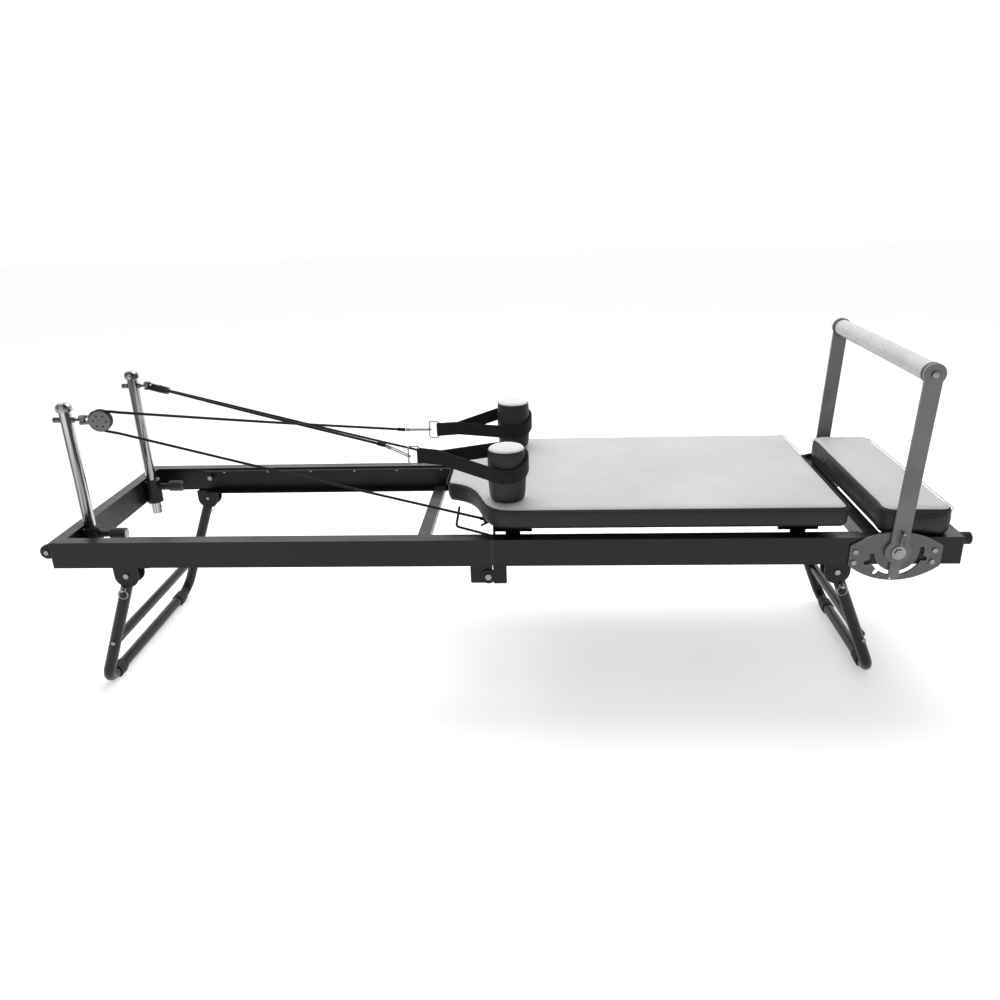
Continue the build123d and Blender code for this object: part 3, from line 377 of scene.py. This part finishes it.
def moulded_plastic(name, value, roughness=0.5, grain=700.0):
    """Moulded plastic, nylon or rubber: a fine speckle and faint cloudiness."""
    material, shader = new_material(name, grey(value), roughness)
    where = object_coordinates(material)
    speckle = pattern(material, "ShaderNodeTexNoise", where, Scale=grain, Detail=3.0)
    add_bump(material, shader, speckle.outputs["Fac"], 0.25, 0.0004)
    cloud = pattern(material, "ShaderNodeTexNoise", where, Scale=30.0, Detail=5.0)
    vary(material, shader, "Base Color", cloud.outputs["Fac"], grey(value * 0.8), grey(value * 1.25))
    vary(material, shader, "Roughness", cloud.outputs["Fac"], roughness - 0.08, roughness + 0.1)
    return material


def grained_leather(name, top, side, edge_height):
    """Synthetic leather: fine pebble grain and soft creases, with painted shade in the creases of its dark
    sides, and a pale painted highlight over everything above edge_height for light falling on the top.
    """
    material, shader = new_material(name, grey(top), 0.5, specular=0.4)
    links = material.node_tree.links
    where = object_coordinates(material)
    pebbles = pattern(material, "ShaderNodeTexVoronoi", where, Scale=420.0)
    pebbles.feature = "DISTANCE_TO_EDGE"
    creases = pattern(material, "ShaderNodeTexNoise", where, Scale=16.0, Detail=8.0, Roughness=0.62)
    cloud = pattern(material, "ShaderNodeTexNoise", where, Scale=3.2, Detail=4.0)
    # The top's colour is a painted highlight for light from above, mottled a little by the cloud; the side
    # value is the leather's own dark colour.
    top_colour = vary(material, shader, "Base Color", cloud.outputs["Fac"], grey(top * 0.9),
                      grey(top * 1.06))
    # Painted shade: the sides are darker where the creases noise is low, in the hollows of the creases it
    # raises.
    side_colour = vary(material, shader, "Base Color", creases.outputs["Fac"], grey(side * 0.75),
                       grey(side * 1.3))
    split = material.node_tree.nodes.new("ShaderNodeSeparateXYZ")
    links.new(where, split.inputs["Vector"])
    blur = 0.0006
    level = add_node(material, "ShaderNodeMapRange", From_Min=edge_height - blur,
                     From_Max=edge_height + blur)
    links.new(split.outputs["Z"], level.inputs["Value"])
    ends, colour = colour_mix(material, level.outputs["Result"])
    links.new(side_colour, ends[0])
    links.new(top_colour, ends[1])
    links.new(colour, shader.inputs["Base Color"])
    vary(material, shader, "Roughness", creases.outputs["Fac"], 0.42, 0.6)
    add_bump(material, shader, creases.outputs["Fac"], 0.12, 0.003)
    add_bump(material, shader, pebbles.outputs["Distance"], 0.3, 0.0005)
    return material


def plain_leather(name, value):
    """The same leather in one colour."""
    return grained_leather(name, value, value, -1.0)


def woven_webbing():
    """Nylon webbing: ribs across, picks along, and a little dust."""
    material, shader = new_material("black_webbing", grey(0.008), 0.8, specular=0.2)
    uv = material.node_tree.nodes.new("ShaderNodeUVMap")
    uv.uv_map = "cloth"
    ribs = pattern(material, "ShaderNodeTexWave", uv.outputs["UV"], Scale=140.0, Distortion=0.6)
    ribs.bands_direction = "X"
    picks = pattern(material, "ShaderNodeTexWave", uv.outputs["UV"], Scale=90.0, Distortion=0.4)
    picks.bands_direction = "Y"
    add_bump(material, shader, ribs.outputs["Fac"], 0.5, 0.0006)
    add_bump(material, shader, picks.outputs["Fac"], 0.35, 0.0005)
    dust = pattern(material, "ShaderNodeTexNoise", uv.outputs["UV"], Scale=35.0, Detail=6.0)
    vary(material, shader, "Base Color", dust.outputs["Fac"], grey(0.005), grey(0.014))
    shader.inputs["Sheen Weight"].default_value = 0.08
    return material


def braided_rope():
    """Braided cover: two crossing sets of fine ridges, the first with painted shade in its grooves."""
    material, shader = new_material("black_rope", grey(0.006), 0.62, specular=0.25)
    for index, turn in enumerate((0.8, -0.8)):
        where = object_coordinates(material, turn=(0, turn, turn))
        ridges = pattern(material, "ShaderNodeTexWave", where, Scale=70.0, Distortion=1.0)
        add_bump(material, shader, ridges.outputs["Fac"], 0.6, 0.0008)
        # Painted shade: the first set's grooves are painted darker than its ridges.
        if index == 0:
            vary(material, shader, "Base Color", ridges.outputs["Fac"], grey(0.004), grey(0.012))
    return material


def floor_paint():
    """Plain pale paint that glows a little, so that the floor stays near white."""
    material, shader = new_material("pale_floor", (0.93, 0.93, 0.93), 0.9, specular=0.1)
    grain = pattern(material, "ShaderNodeTexNoise", object_coordinates(material), Scale=3.0, Detail=3.0)
    vary(material, shader, "Base Color", grain.outputs["Fac"], (0.92, 0.92, 0.92), (0.95, 0.95, 0.95))
    shader.inputs["Emission Color"].default_value = (1, 1, 1, 1)
    shader.inputs["Emission Strength"].default_value = 0.4
    return material


def make_materials():
    """Every finish but the cushions' leather, by a short name."""
    return {
        "charcoal": powder_coat("charcoal_paint", 0.006, 0.3),
        "dark_steel": powder_coat("black_steel_paint", 0.005, 0.4),
        "leg_paint": powder_coat("leg_tube_paint", 0.009, 0.24),
        "arm": powder_coat("grey_arm_paint", 0.15, 0.3),
        "bar": bright_metal("satin_bar", 0.42, 0.3, (1, 0.05, 1), 0.25),
        "hammered": hammered_paint(),
        "chrome": chrome_with_painted_reflections(),
        "wire_chrome": bright_metal("hook_chrome", 0.22, 0.2),
        "stainless": bright_metal("pulley_stainless", 0.15, 0.26, (0.2, 1, 1)),
        "zinc": bright_metal("zinc_plate", 0.3, 0.3),
        "spring": bright_metal("spring_wire", 0.26, 0.3),
        "plastic": moulded_plastic("black_plastic", 0.008),
        "nylon": moulded_plastic("dark_nylon", 0.012, 0.36, 400.0),
        "rubber": moulded_plastic("black_rubber", 0.008, 0.7, 500.0),
        "webbing": woven_webbing(),
        "rope": braided_rope(),
        "stitch": moulded_plastic("grey_thread", 0.16, 0.8, 900.0),
        "piping": plain_leather("piping_leather", 0.009),
    }


def dress_frame(m):
    """Gives every CAD node that stays its finish."""
    finishes = {
        "charcoal": ("head_rails", "foot_rails", "head_cross_members", "foot_cross_members"),
        "dark_steel": ("head_tracks", "foot_tracks", "head_leg_brackets", "foot_leg_brackets",
                       "head_hinge_plates", "foot_hinge_plates", "post_sockets", "carriage_underframe",
                       "carriage_rod"),
        "leg_paint": ("head_leg_frame", "foot_leg_frame"),
        "arm": ("footbar_arms",),
        "bar": ("footbar_tube",),
        "hammered": ("footbar_quadrants",),
        "chrome": ("post_right", "post_left"),
        "wire_chrome": ("strap_rings", "snap_hooks"),
        "stainless": ("pulley_block_right", "pulley_block_left", "eye_bolt_right", "eye_bolt_left"),
        "zinc": ("head_bolts", "foot_bolts", "carriage_pins", "head_leg_lock_right", "head_leg_lock_left",
                 "foot_leg_lock_right", "foot_leg_lock_left", "footbar_hub"),
        "plastic": ("head_rail_caps", "foot_rail_caps", "footbar_rings", "pop_pin_right", "pop_pin_left"),
        "nylon": ("sheave_right", "sheave_left", "head_wheel_right", "head_wheel_left", "foot_wheel_right",
                  "foot_wheel_left"),
        "rubber": ("end_bumpers", "head_leg_feet", "foot_leg_feet", "transport_wheel_right",
                   "transport_wheel_left"),
    }
    for finish, names in finishes.items():
        for name in names:
            node = nodes[name]
            node.data.materials.clear()
            node.data.materials.append(m[finish])


# ---------------------------------------------------------------- padded pieces

def plan_outline(node):
    """The outer edge of a pad's top, as points in order round its middle."""
    low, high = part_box(node)
    middle = Vector(((low.x + high.x) / 2, 0))
    rests = [Vector((rest_place[0], side * rest_place[1])) for side in SIDES.values()]
    rim = {}
    for vertex in nodes[node].data.vertices:
        if vertex.co.z < high.z - 1e-4:
            continue
        point = Vector((vertex.co.x, vertex.co.y))
        if node == "carriage_pad" and min((point - rest).length for rest in rests) < rest_hole:
            continue
        angle = atan2(point.y - middle.y, point.x - middle.x)
        rim[round(angle, 5)] = point
    return [rim[angle] for angle in sorted(rim)]


def even_points(outline, spacing):
    """Points along a closed outline, about one spacing apart."""
    points = []
    for here, there in zip(outline, outline[1:] + outline[:1]):
        count = max(1, ceil((there - here).length / spacing))
        points += [here.lerp(there, step / count) for step in range(count)]
    return points


def inset_points(points, amount):
    """The same closed outline, moved inwards."""
    moved = []
    count = len(points)
    for index, point in enumerate(points):
        along = points[(index + 1) % count] - points[index - 1]
        inward = Vector((-along.y, along.x)).normalized()
        moved.append(point + inward * amount)
    return moved


def puff(piece, pressure, cap, voxel, spare=0.0):
    """Swells a closed form by cloth simulation, keeps each point within a cap, and applies it."""
    remesh = piece.modifiers.new("remesh", "REMESH")
    remesh.mode = "VOXEL"
    remesh.voxel_size = voxel
    apply_modifiers(piece)
    before = [vertex.co.copy() for vertex in piece.data.vertices]
    cloth = piece.modifiers.new("cloth", "CLOTH")
    cloth.settings.use_pressure = True
    cloth.settings.uniform_pressure_force = pressure
    cloth.settings.effector_weights.gravity = 0
    cloth.settings.quality = 4
    cloth.settings.tension_stiffness = 25
    cloth.settings.compression_stiffness = 25
    cloth.settings.bending_stiffness = 2.0
    for number in range(1, 16):
        bpy.context.scene.frame_set(number)
    apply_modifiers(piece)
    bpy.context.scene.frame_set(1)
    low, high = limits_of(before, spare)
    for vertex, start in zip(piece.data.vertices, before):
        move = vertex.co - start
        if move.length > cap:
            vertex.co = start + move.normalized() * cap
        vertex.co = Vector(min(max(value, a), b) for value, a, b in zip(vertex.co, low, high))


def limits_of(points, spare):
    """The lowest and highest corners of some points, with a little to spare."""
    low = Vector(min(p[axis] for p in points) - spare for axis in range(3))
    high = Vector(max(p[axis] for p in points) + spare for axis in range(3))
    return low, high


def apply_modifiers(piece):
    """Puts the piece's modified shape into its own mesh."""
    bpy.context.view_layer.update()
    graph = bpy.context.evaluated_depsgraph_get()
    mesh = bpy.data.meshes.new_from_object(piece.evaluated_get(graph))
    old = piece.data
    piece.modifiers.clear()
    piece.data = mesh
    bpy.data.meshes.remove(old)


def soften(piece):
    """One level of subdivision, and smooth shading."""
    subdivide = piece.modifiers.new("smooth", "SUBSURF")
    subdivide.levels = subdivide.render_levels = 1
    for face in piece.data.polygons:
        face.use_smooth = True


def slab(outline, low, high, edge):
    """A closed pad with rounded top and bottom edges."""
    bm = bmesh.new()
    rim = even_points(outline, 0.012)
    levels = [(edge, low), (edge * 0.3, low + edge * 0.3), (0.0, low + edge), (-0.001, (low + high) / 2),
              (0.0, high - edge), (edge * 0.3, high - edge * 0.3), (edge, high)]
    loops = []
    for inset, z in levels:
        points = inset_points(rim, inset + swell_room)
        loops.append([bm.verts.new((p.x, p.y, z)) for p in points])
    for below, above in zip(loops, loops[1:]):
        for index in range(len(rim)):
            after = (index + 1) % len(rim)
            bm.faces.new((below[index], below[after], above[after], above[index]))
    bm.faces.new(loops[-1])
    bm.faces.new(list(reversed(loops[0])))
    bmesh.ops.recalc_face_normals(bm, faces=bm.faces)
    return bm


def piping(name, outline, z, radius, material, inset):
    """A thin round seam that follows an outline at one height."""
    rim = inset_points(even_points(outline, 0.02), inset)
    bm = tube_along([(p.x, p.y, z) for p in rim], radius, closed=True, sides=8, steps=3)
    return new_piece(name, bm, material)


def cushion(name, node, board, body, edge, cap, voxel, leather, m):
    """An upholstered slab wrapped down over its board, with a sewn seam round its top edge."""
    low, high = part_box(board)[0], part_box(node)[1]
    outline = plan_outline(node)
    piece = new_piece(name, slab(outline, low.z + 0.0005, high.z - 0.002, edge), leather)
    puff(piece, 4.0, cap, voxel, spare=0.0015)
    soften(piece)
    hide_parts(node, board)
    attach(piece, body)
    seam = piping(f"{name}_seam", outline, high.z - edge * 0.8, 0.001, m["piping"], 0.0016)
    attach(seam, body)


def shoulder_rest(side_name, leather, m):
    """A padded drum with a sewn top panel."""
    side = SIDES[side_name]
    low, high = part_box("shoulder_rests")
    x, y = rest_place[0], side * rest_place[1]
    bm = bmesh.new()
    profile = [(0.0, low.z), (0.040, low.z), (0.0455, low.z + 0.004), (0.0482, low.z + 0.02),
               (0.0505, low.z + 0.06), (0.0508, low.z + 0.09), (0.0495, high.z - 0.02),
               (0.0475, high.z - 0.010), (0.044, high.z - 0.0045), (0.030, high.z - 0.002),
               (0.0, high.z - 0.0015)]
    chain = [bm.verts.new((x + r, y, z)) for r, z in profile]
    for a, b in zip(chain, chain[1:]):
        bm.edges.new((a, b))
    bmesh.ops.spin(bm, geom=bm.verts[:] + bm.edges[:], cent=(x, y, 0), axis=(0, 0, 1), angle=2 * pi,
                   steps=48, use_merge=True)
    bmesh.ops.remove_doubles(bm, verts=bm.verts, dist=1e-6)
    bmesh.ops.recalc_face_normals(bm, faces=bm.faces)
    piece = new_piece(f"shoulder_rest_{side_name}", bm, leather)
    puff(piece, 3.0, 0.002, 0.005, spare=0.0008)
    soften(piece)
    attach(piece, "carriage")
    for label, radius, z in (("top", 0.0475, high.z - 0.0105), ("middle", 0.0503, low.z + 0.062)):
        rim = [(x + radius * cos(a * pi / 16), y + radius * sin(a * pi / 16), z) for a in range(32)]
        cord = tube_along(rim, 0.0016, closed=True, sides=8)
        seam = new_piece(f"shoulder_rest_{side_name}_{label}_seam", cord, m["piping"])
        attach(seam, "carriage")
    return piece


# ---------------------------------------------------------------- straps

def loop_path(facts, side):
    """Plan of the webbing's middle line: from the joint, round the rest and back."""
    centre = Vector((rest_place[0], side * rest_place[1]))
    tip = Vector(facts["joint"])
    reach = (centre - tip).length
    heading = atan2(centre.y - tip.y, centre.x - tip.x)
    tangent = sqrt(reach ** 2 - loop_radius ** 2)
    half = atan2(loop_radius, tangent)
    path = []
    for step in range(13):
        path.append(tip + Vector((cos(heading - half), sin(heading - half))) * tangent * step / 12)
    sweep = pi + 2 * half
    start = heading - half - pi / 2
    for step in range(1, 33):
        angle = start + sweep * step / 33
        path.append(centre + Vector((cos(angle), sin(angle))) * loop_radius)
    for step in range(13):
        far = 1 - step / 12
        path.append(tip + Vector((cos(heading + half), sin(heading + half))) * tangent * far)
    return path


def webbing(name, path, height_at, width, thickness, m):
    """A flat band standing on edge along a plan path, with its own cloth coordinates."""
    bm = bmesh.new()
    layer = bm.loops.layers.uv.new("cloth")
    rows = 5
    columns, distances = [], [0.0]
    for here, there in zip(path, path[1:]):
        distances.append(distances[-1] + (there - here).length)
    for point in path:
        column = []
        for row in range(rows):
            z = height_at(point) + width * (row / (rows - 1) - 0.5)
            column.append(bm.verts.new((point.x, point.y, z)))
        columns.append(column)
    for index in range(len(path) - 1):
        for row in range(rows - 1):
            a, b = columns[index], columns[index + 1]
            face = bm.faces.new((a[row], b[row], b[row + 1], a[row + 1]))
            spots = ((index, row), (index + 1, row), (index + 1, row + 1), (index, row + 1))
            for loop, (column, level) in zip(face.loops, spots):
                loop[layer].uv = (distances[column], width * level / (rows - 1))
    piece = new_piece(name, bm, m["webbing"])
    solid = piece.modifiers.new("thickness", "SOLIDIFY")
    solid.thickness = thickness
    solid.offset = 0.0
    soft = piece.modifiers.new("edge", "BEVEL")
    soft.width = thickness * 0.3
    soft.segments = 2
    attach(piece, "carriage")
    return piece


def strap(side_name, m):
    """A loop round its shoulder rest, the lead to its ring, and the stitches between them."""
    side = SIDES[side_name]
    facts = strap_facts[side_name]

    def height_at(point):
        return facts["z"] + facts["rise"] * (point.y - facts["y"])

    loop = webbing(f"strap_loop_{side_name}", loop_path(facts, side), height_at, 0.039, 0.0042, m)
    start, joint = Vector(facts["start"]), Vector(facts["joint"])
    along = (joint - start).normalized()
    across = Vector((-along.y, along.x))
    wire = Vector((ring_x, start.y))
    fold = []
    for step in range(17):
        angle = pi / 2 + pi * step / 16
        fold.append(wire + Vector((cos(angle), sin(angle))) * fold_radius)
    lead = [joint + along * 0.02 + across * joint_gap, joint + across * joint_gap]
    lead += [joint.lerp(start, t) + across * lead_gap for t in (0.2, 0.4, 0.6, 0.8, 1.0)]
    back = [joint.lerp(start, t) - across * lead_gap for t in (1.0, 0.8, 0.6, 0.4, 0.2)]
    back += [joint - across * joint_gap, joint + along * 0.02 - across * joint_gap]
    webbing(f"strap_lead_{side_name}", lead + fold + back, height_at, 0.038, 0.0038, m)
    threads = stitches(height_at, along, across, joint)
    sewn = new_piece(f"strap_stitches_{side_name}", threads, m["stitch"])
    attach(sewn, "carriage")
    return loop


def stitches(height_at, along, across, joint):
    """A box of short stitches, with one diagonal, on both faces of the doubled webbing."""
    bm = bmesh.new()
    corners = [(0.004, -0.014), (0.040, -0.014), (0.040, 0.014), (0.004, 0.014), (0.004, -0.014),
               (0.040, 0.014)]
    for face in (1, -1):
        for here, there in zip(corners, corners[1:]):
            length = hypot(there[0] - here[0], there[1] - here[1])
            count = int(length / 0.004)
            for step in range(count):
                ends = []
                for offset in (0.1, 0.75):
                    t = (step + offset) / count
                    u = here[0] + (there[0] - here[0]) * t
                    v = here[1] + (there[1] - here[1]) * t
                    flat = joint - along * u + across * face * 0.0052
                    ends.append(Vector((flat.x, flat.y, height_at(flat) + v)))
                merge(bm, tube_along(ends, 0.0005, sides=4, order=2, steps=1))
    return bm


# ---------------------------------------------------------------- ropes

def strand(name, near, far, m):
    """One straight run of rope, sagging a little at its middle."""
    near, far = Vector(near), Vector(far)
    middle = near.lerp(far, 0.5) - Vector((0, 0, rope_sag))
    points = [near, near.lerp(far, 0.04), middle, near.lerp(far, 0.96), far]
    piece = new_piece(name, tube_along(points, rope_radius, sides=12, steps=10), m["rope"])
    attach(piece, "head_frame")
    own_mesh(piece)


def knot(name, place, towards, body, m):
    """The rope's end: a sleeve of whipping and a bound knot."""
    place, towards = Vector(place), Vector(towards)
    axis = (towards - place).normalized()
    bm = helix(place + axis * 0.004, axis, 0.0046, 0.020, 8, 0.0012)
    merge(bm, disc(place + axis * 0.0005, axis, 0.0058, 0.004, 0.0012))
    piece = new_piece(name, bm, m["rope"])
    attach(piece, body)


def ropes(m):
    """Each rope as a bend round its pulley, two straight runs, and a knot at each end."""
    for side_name, route in rope_routes.items():
        wrap = route["wrap"]
        lower_start, upper_start = Vector(wrap[0]), Vector(wrap[-1])
        around = tube_along(wrap, rope_radius, sides=12, steps=10)
        bend = new_piece(f"rope_{side_name}_round_pulley", around, m["rope"])
        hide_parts(f"rope_{side_name}")
        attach(bend, f"pulley_{side_name}")
        strand(f"rope_{side_name}_lower_run", lower_start, route["anchor"], m)
        strand(f"rope_{side_name}_upper_run", upper_start, route["hook"], m)
        knot(f"rope_{side_name}_hook_knot", route["hook"], upper_start, "carriage", m)
        knot(f"rope_{side_name}_anchor_knot", route["anchor"], lower_start, "carriage", m)


# ---------------------------------------------------------------- springs, rivets and small trim

def carriage_springs(m):
    """Five wound springs under the carriage, each with a hook at its free end."""
    z = spring_height
    bm = bmesh.new()
    for y in spring_rows:
        merge(bm, helix((0.842, y, z), (1, 0, 0), 0.0078, 0.062, 18, 0.0016, 12))
        hook = [(0.903, y, z + 0.0078), (0.908, y, z), (0.924, y, z), (0.927, y, z + 0.010),
                (0.938, y, z + 0.0125), (0.9495, y, z + 0.006), (0.9495, y, z - 0.006),
                (0.938, y, z - 0.0125), (0.929, y, z - 0.009)]
        merge(bm, tube_along(hook, 0.0018, sides=8, steps=6))
    bar = bmesh.new()
    bmesh.ops.create_cube(bar, size=1.0)
    bmesh.ops.scale(bar, vec=(0.014, 0.298, 0.016), verts=bar.verts)
    bmesh.ops.translate(bar, vec=(0.833, 0, z), verts=bar.verts)
    bmesh.ops.bevel(bar, geom=bar.edges[:], offset=0.002, offset_type="OFFSET", segments=2, profile=0.5,
                    affect="EDGES", material=-1)
    merge(bm, bar)
    piece = new_piece("carriage_springs", bm, m["spring"])
    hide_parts("springs")
    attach(piece, "carriage")


def footbar_coils(m):
    """Wound springs and their studs on the outer faces of the arms."""
    arm_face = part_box("footbar_arms")[1].y
    bm = bmesh.new()
    up = Vector((sin(arm_tilt), 0, cos(arm_tilt)))
    pivot = Vector(arm_pivot)
    for side in SIDES.values():
        start = pivot + up * 0.022
        start.y = side * (arm_face + 0.0105)
        merge(bm, helix(start, up, 0.0049, 0.029, 9, 0.0011, 12))
        merge(bm, tube_along([start + up * 0.029, start + up * 0.032, start + up * 0.034], 0.0012, sides=8))
        stud = pivot + up * 0.056
        stud.y = side * arm_face
        merge(bm, disc(stud, (0, side, 0), 0.0040, 0.0175, 0.001))
    piece = new_piece("footbar_coils", bm, m["spring"])
    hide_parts("footbar_springs")
    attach(piece, "footbar")


def rivets(name, spots, body, radius, height, m):
    """A set of low round heads; each spot is a point and the direction it faces."""
    bm = bmesh.new()
    for place, facing in spots:
        merge(bm, disc(place, facing, radius, height, min(radius, height) * 0.45, 16))
    piece = new_piece(name, bm, m["zinc"])
    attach(piece, body)


def small_heads(m):
    """Rivets along the tracks, and screws at the ends of the legs' braces."""
    y, z = track_web
    for end, places in track_rivets.items():
        spots = [((x, side * y, z), (0, -side, 0)) for x in places for side in SIDES.values()]
        rivets(f"{end}_track_rivets", spots, f"{end}_frame", 0.0045, 0.0025, m)
    for end, (x, z, half) in leg_braces.items():
        spots = [((x, side * half, z), (0, side, 0)) for side in SIDES.values()]
        rivets(f"{end}_leg_brace_screws", spots, f"{end}_legs", 0.006, 0.003, m)


def end_faces(m):
    """Bright discs on the pop pins' knobs, their ferrules, and screws in the bar's ends."""
    for side_name in SIDES:
        low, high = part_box(f"pop_pin_{side_name}")
        middle = (low + high) / 2
        bm = disc((high.x - 0.0004, middle.y, middle.z), (1, 0, 0), 0.0125, 0.0016, 0.0006)
        merge(bm, disc((high.x - 0.046, middle.y, middle.z), (1, 0, 0), 0.0115, 0.005, 0.001))
        piece = new_piece(f"pop_pin_face_{side_name}", bm, m["zinc"])
        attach(piece, f"pop_pin_{side_name}")
    low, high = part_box("footbar_rings")
    middle = (low + high) / 2
    spots = [((middle.x, side * (high.y - 0.0005), middle.z), (0, side, 0)) for side in SIDES.values()]
    rivets("bar_end_screws", spots, "footbar", 0.0085, 0.0022, m)


def rope_hanger(m):
    """A short stub beside the carriage's bent rod."""
    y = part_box("carriage_rod")[0].y + 0.0035
    bm = tube_along([(-0.0375, y, 0.458), (-0.026, y, 0.463), (-0.016, y, 0.468)], 0.0034, sides=12)
    piece = new_piece("rope_hanger", bm, m["dark_steel"])
    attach(piece, "carriage")


def main():
    place_camera()
    light_studio()
    lay_floor()
    m = make_materials()
    dress_frame(m)
    ropes(m)
    padded = ("carriage_pad", "foot_pad", "shoulder_rests")
    pad_top, foot_top, rest_top = (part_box(node)[1].z for node in padded)
    # pale is a painted highlight for light falling on the tops of the pads and rests; dark is the leather's
    # own colour.
    pale, dark = 0.5, 0.009
    cushion("carriage_cushion", "carriage_pad", "carriage_board", "carriage", 0.010, 0.003, 0.010,
            grained_leather("carriage_leather", pale, dark, pad_top - 0.006), m)
    cushion("foot_cushion", "foot_pad", "foot_board", "foot_frame", 0.012, 0.004, 0.006,
            grained_leather("foot_leather", pale, dark, foot_top - 0.006), m)
    # The rests' tops get a brighter painted highlight than the pads' tops.
    rest_leather = grained_leather("rest_leather", pale * 1.3, dark, rest_top - 0.0105)
    rests = [shoulder_rest(side_name, rest_leather, m) for side_name in SIDES]
    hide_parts("shoulder_rests")
    loops = [strap(side_name, m) for side_name in SIDES]
    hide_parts("straps")
    carriage_springs(m)
    footbar_coils(m)
    small_heads(m)
    end_faces(m)
    rope_hanger(m)


main()
